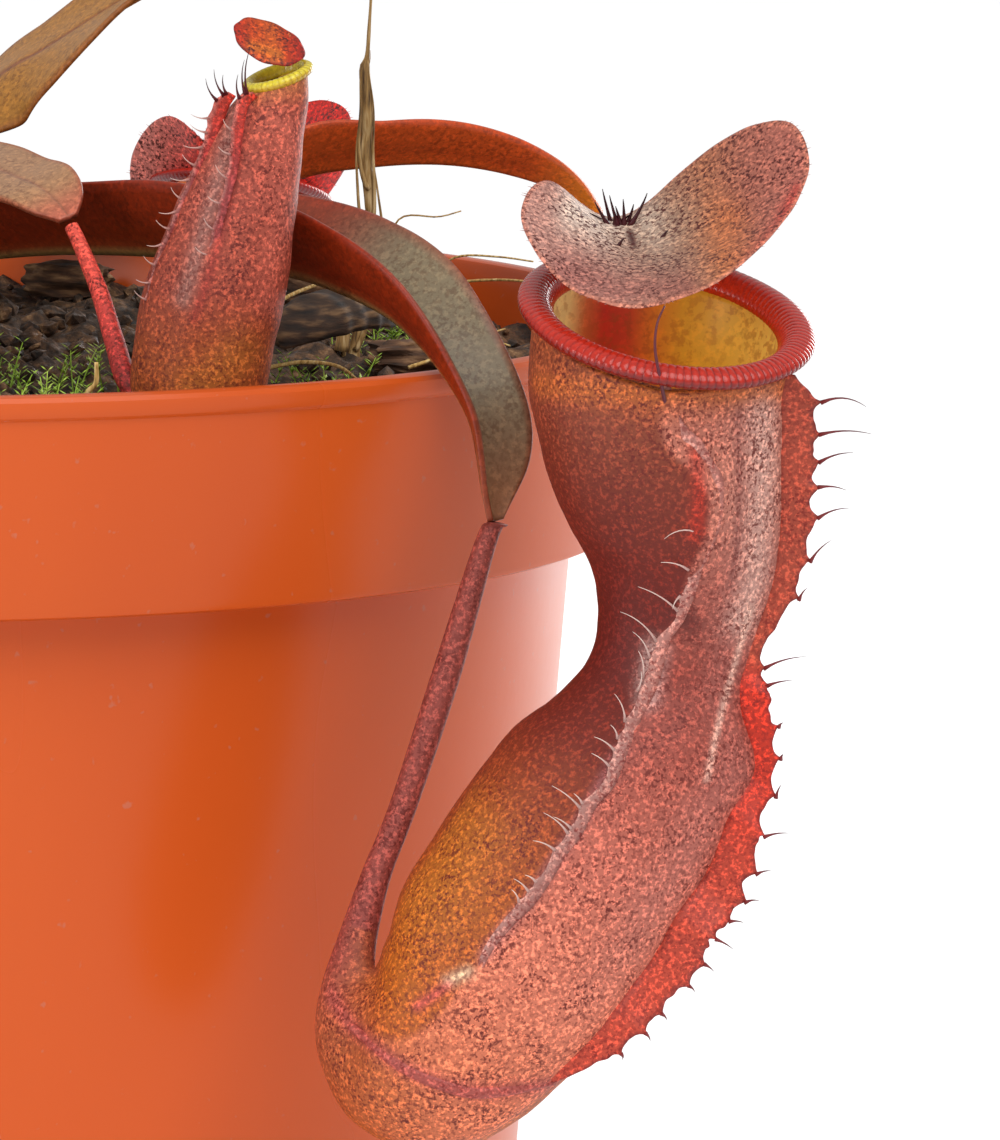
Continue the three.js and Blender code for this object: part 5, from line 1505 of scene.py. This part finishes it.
# %% Curled dead leaf
def curled_leaf(rows=60, sides=24):
    """A half-rolled strip: outer arcs along a line, and inner ones back."""
    t = np.linspace(0, 1, rows)
    width = 4.4 * np.sin(np.pi * (0.12 + 0.76 * t))
    centre = np.stack([50 + 14 * t, -40 + 23 * t, 149.6 + 1.6 * np.sin(np.pi * t)], -1)
    angles = np.radians(np.linspace(-15, 195, sides))
    across, upward = np.array([0.85, -0.52, 0]), np.array([0, 0, 0.8])
    rough = 1 + 0.12 * wobble(centre, 3, 2)[:, None] * np.ones((1, sides))
    arcs = []
    for radius in (width, width - 0.7):
        sideways, high = (radius[:, None] * rough * turn(angles) for turn in (np.cos, np.sin))
        arcs.append(centre[:, None] + across * sideways[..., None] + upward * high[..., None])
    return np.concatenate([arcs[0], arcs[1][:, ::-1]], 1)


build("curled_dead_leaf_blade", [skin(curled_leaf())[:2]], DEAD_LEAF, "dead_plant", "curled_dead_leaf")

# %% Straws and thin roots
def strand_path(start, end, rise, seed):
    rng = np.random.default_rng(seed)
    t = np.linspace(0, 1, 6)[:, None]
    line = np.array(start) * (1 - t) + np.array(end) * t
    line += rng.normal(0, 0.8, (6, 3)) * np.sin(np.pi * t)
    line[:, 2] += rise * np.sin(np.pi * t[:, 0])
    return smooth_rows(line, 28)


# Each row: start, end, how far the middle rises, and radius.
STRAWS = [
    ((28, -78, 143), (29, -78, 152), 0, 0.55), ((60, 30, 144), (76, 30, 158), 4, 0.2),
    ((64, 34, 144), (84, 20, 153), 3, 0.22), ((58, 12, 145), (75, 5, 147), 3, 0.3),
    ((66, 40, 145), (88, 16, 150), 2, 0.25), ((50, 20, 145), (70, 45, 149), 3, 0.3),
    ((15, -70, 145), (38, -72, 144), 2, 0.4), ((46, -30, 145), (60, -50, 146), 2, 0.35),
    ((-20, -60, 144), (-45, -50, 145), 2, 0.35), ((-60, 20, 144), (-30, 40, 145), 2, 0.35),
    ((70, -20, 145), (80, 10, 146), 3, 0.25), ((66, -30, 146), (78, -25, 148), 2, 0.25),
]
parts = []
for seed, (start, end, rise, radius) in enumerate(STRAWS, 40):
    path = strand_path(start, end, rise, seed)
    parts.append(tube(path, np.linspace(radius, radius * 0.45, len(path)), 6))
build("straws", parts, STRAW, "dead_plant")

# %% [markdown]
# ## Moss
# Small bright sprigs of moss grow in tufts on the mix. A sprig is a thin stalk with pairs of
# narrow leaflets, each only a few faces, because there are hundreds of them.

# %% Moss sprigs
def moss_material():
    """Wet moss: a fresh yellow green, in paler and darker patches."""
    material, tree, shader, place = new_material("fresh_moss")
    patch = add_node(tree, "TexNoise", {"Vector": place, "Scale": 260.0})
    tones = [(0.35, "6A8A1E"), (0.5, "9ABE38"), (0.65, "C8DC68")]
    feed(tree, shader, {
        "Base Color": add_node(tree, "ValToRGB", {"Fac": patch}, stops=tones), "Roughness": 0.5,
    })
    return material


def sprig(foot, lean, height, rng):
    """A stalk with six pairs of leaflets, each a low pyramid on four edges."""
    t = np.linspace(0, 1, 7)[:, None]
    path = foot + t * np.array([lean[0], lean[1], height]) + t**2 * rng.normal(0, 0.5, 3)
    parts = [tube(path, np.linspace(0.14, 0.06, 7), 3)]
    for k in range(1, 7):
        for side in (0, math.pi):
            way = rng.uniform(0, 1) + side + k
            out = np.array([math.cos(way), math.sin(way), 0.7])
            tip = path[k] + out * rng.uniform(0.7, 1.4)
            middle = (path[k] + tip) / 2
            wide = np.array([-out[1], out[0], 0]) * 0.18
            points = np.array([path[k], middle + wide, tip, middle - wide, middle + [0, 0, 0.12]])
            parts.append((points, [[0, 1, 4], [1, 2, 4], [2, 3, 4], [3, 0, 4], [0, 3, 2, 1]]))
    return parts


# Each tuft: x, y and how many sprigs.
TUFTS = [
    (26, -62, 22), (20, -30, 14), (33, -30, 10), (64, 20, 16), (70, 40, 12), (56, -34, 12),
    (-30, -50, 16), (-50, 10, 16), (0, 60, 14),
]
TUFT_SPREAD = 3.5
rng = np.random.default_rng(31)
parts = []
for x, y, count in TUFTS:
    for _ in range(count):
        px, py = x + rng.normal(0, TUFT_SPREAD), y + rng.normal(0, TUFT_SPREAD)
        foot = np.array([px, py, soil_height(px, py) - 0.3])
        parts += sprig(foot, rng.normal(0, 1.2, 2), rng.uniform(2.5, 6), rng)
build("moss_sprigs", parts, moss_material(), "leaf")
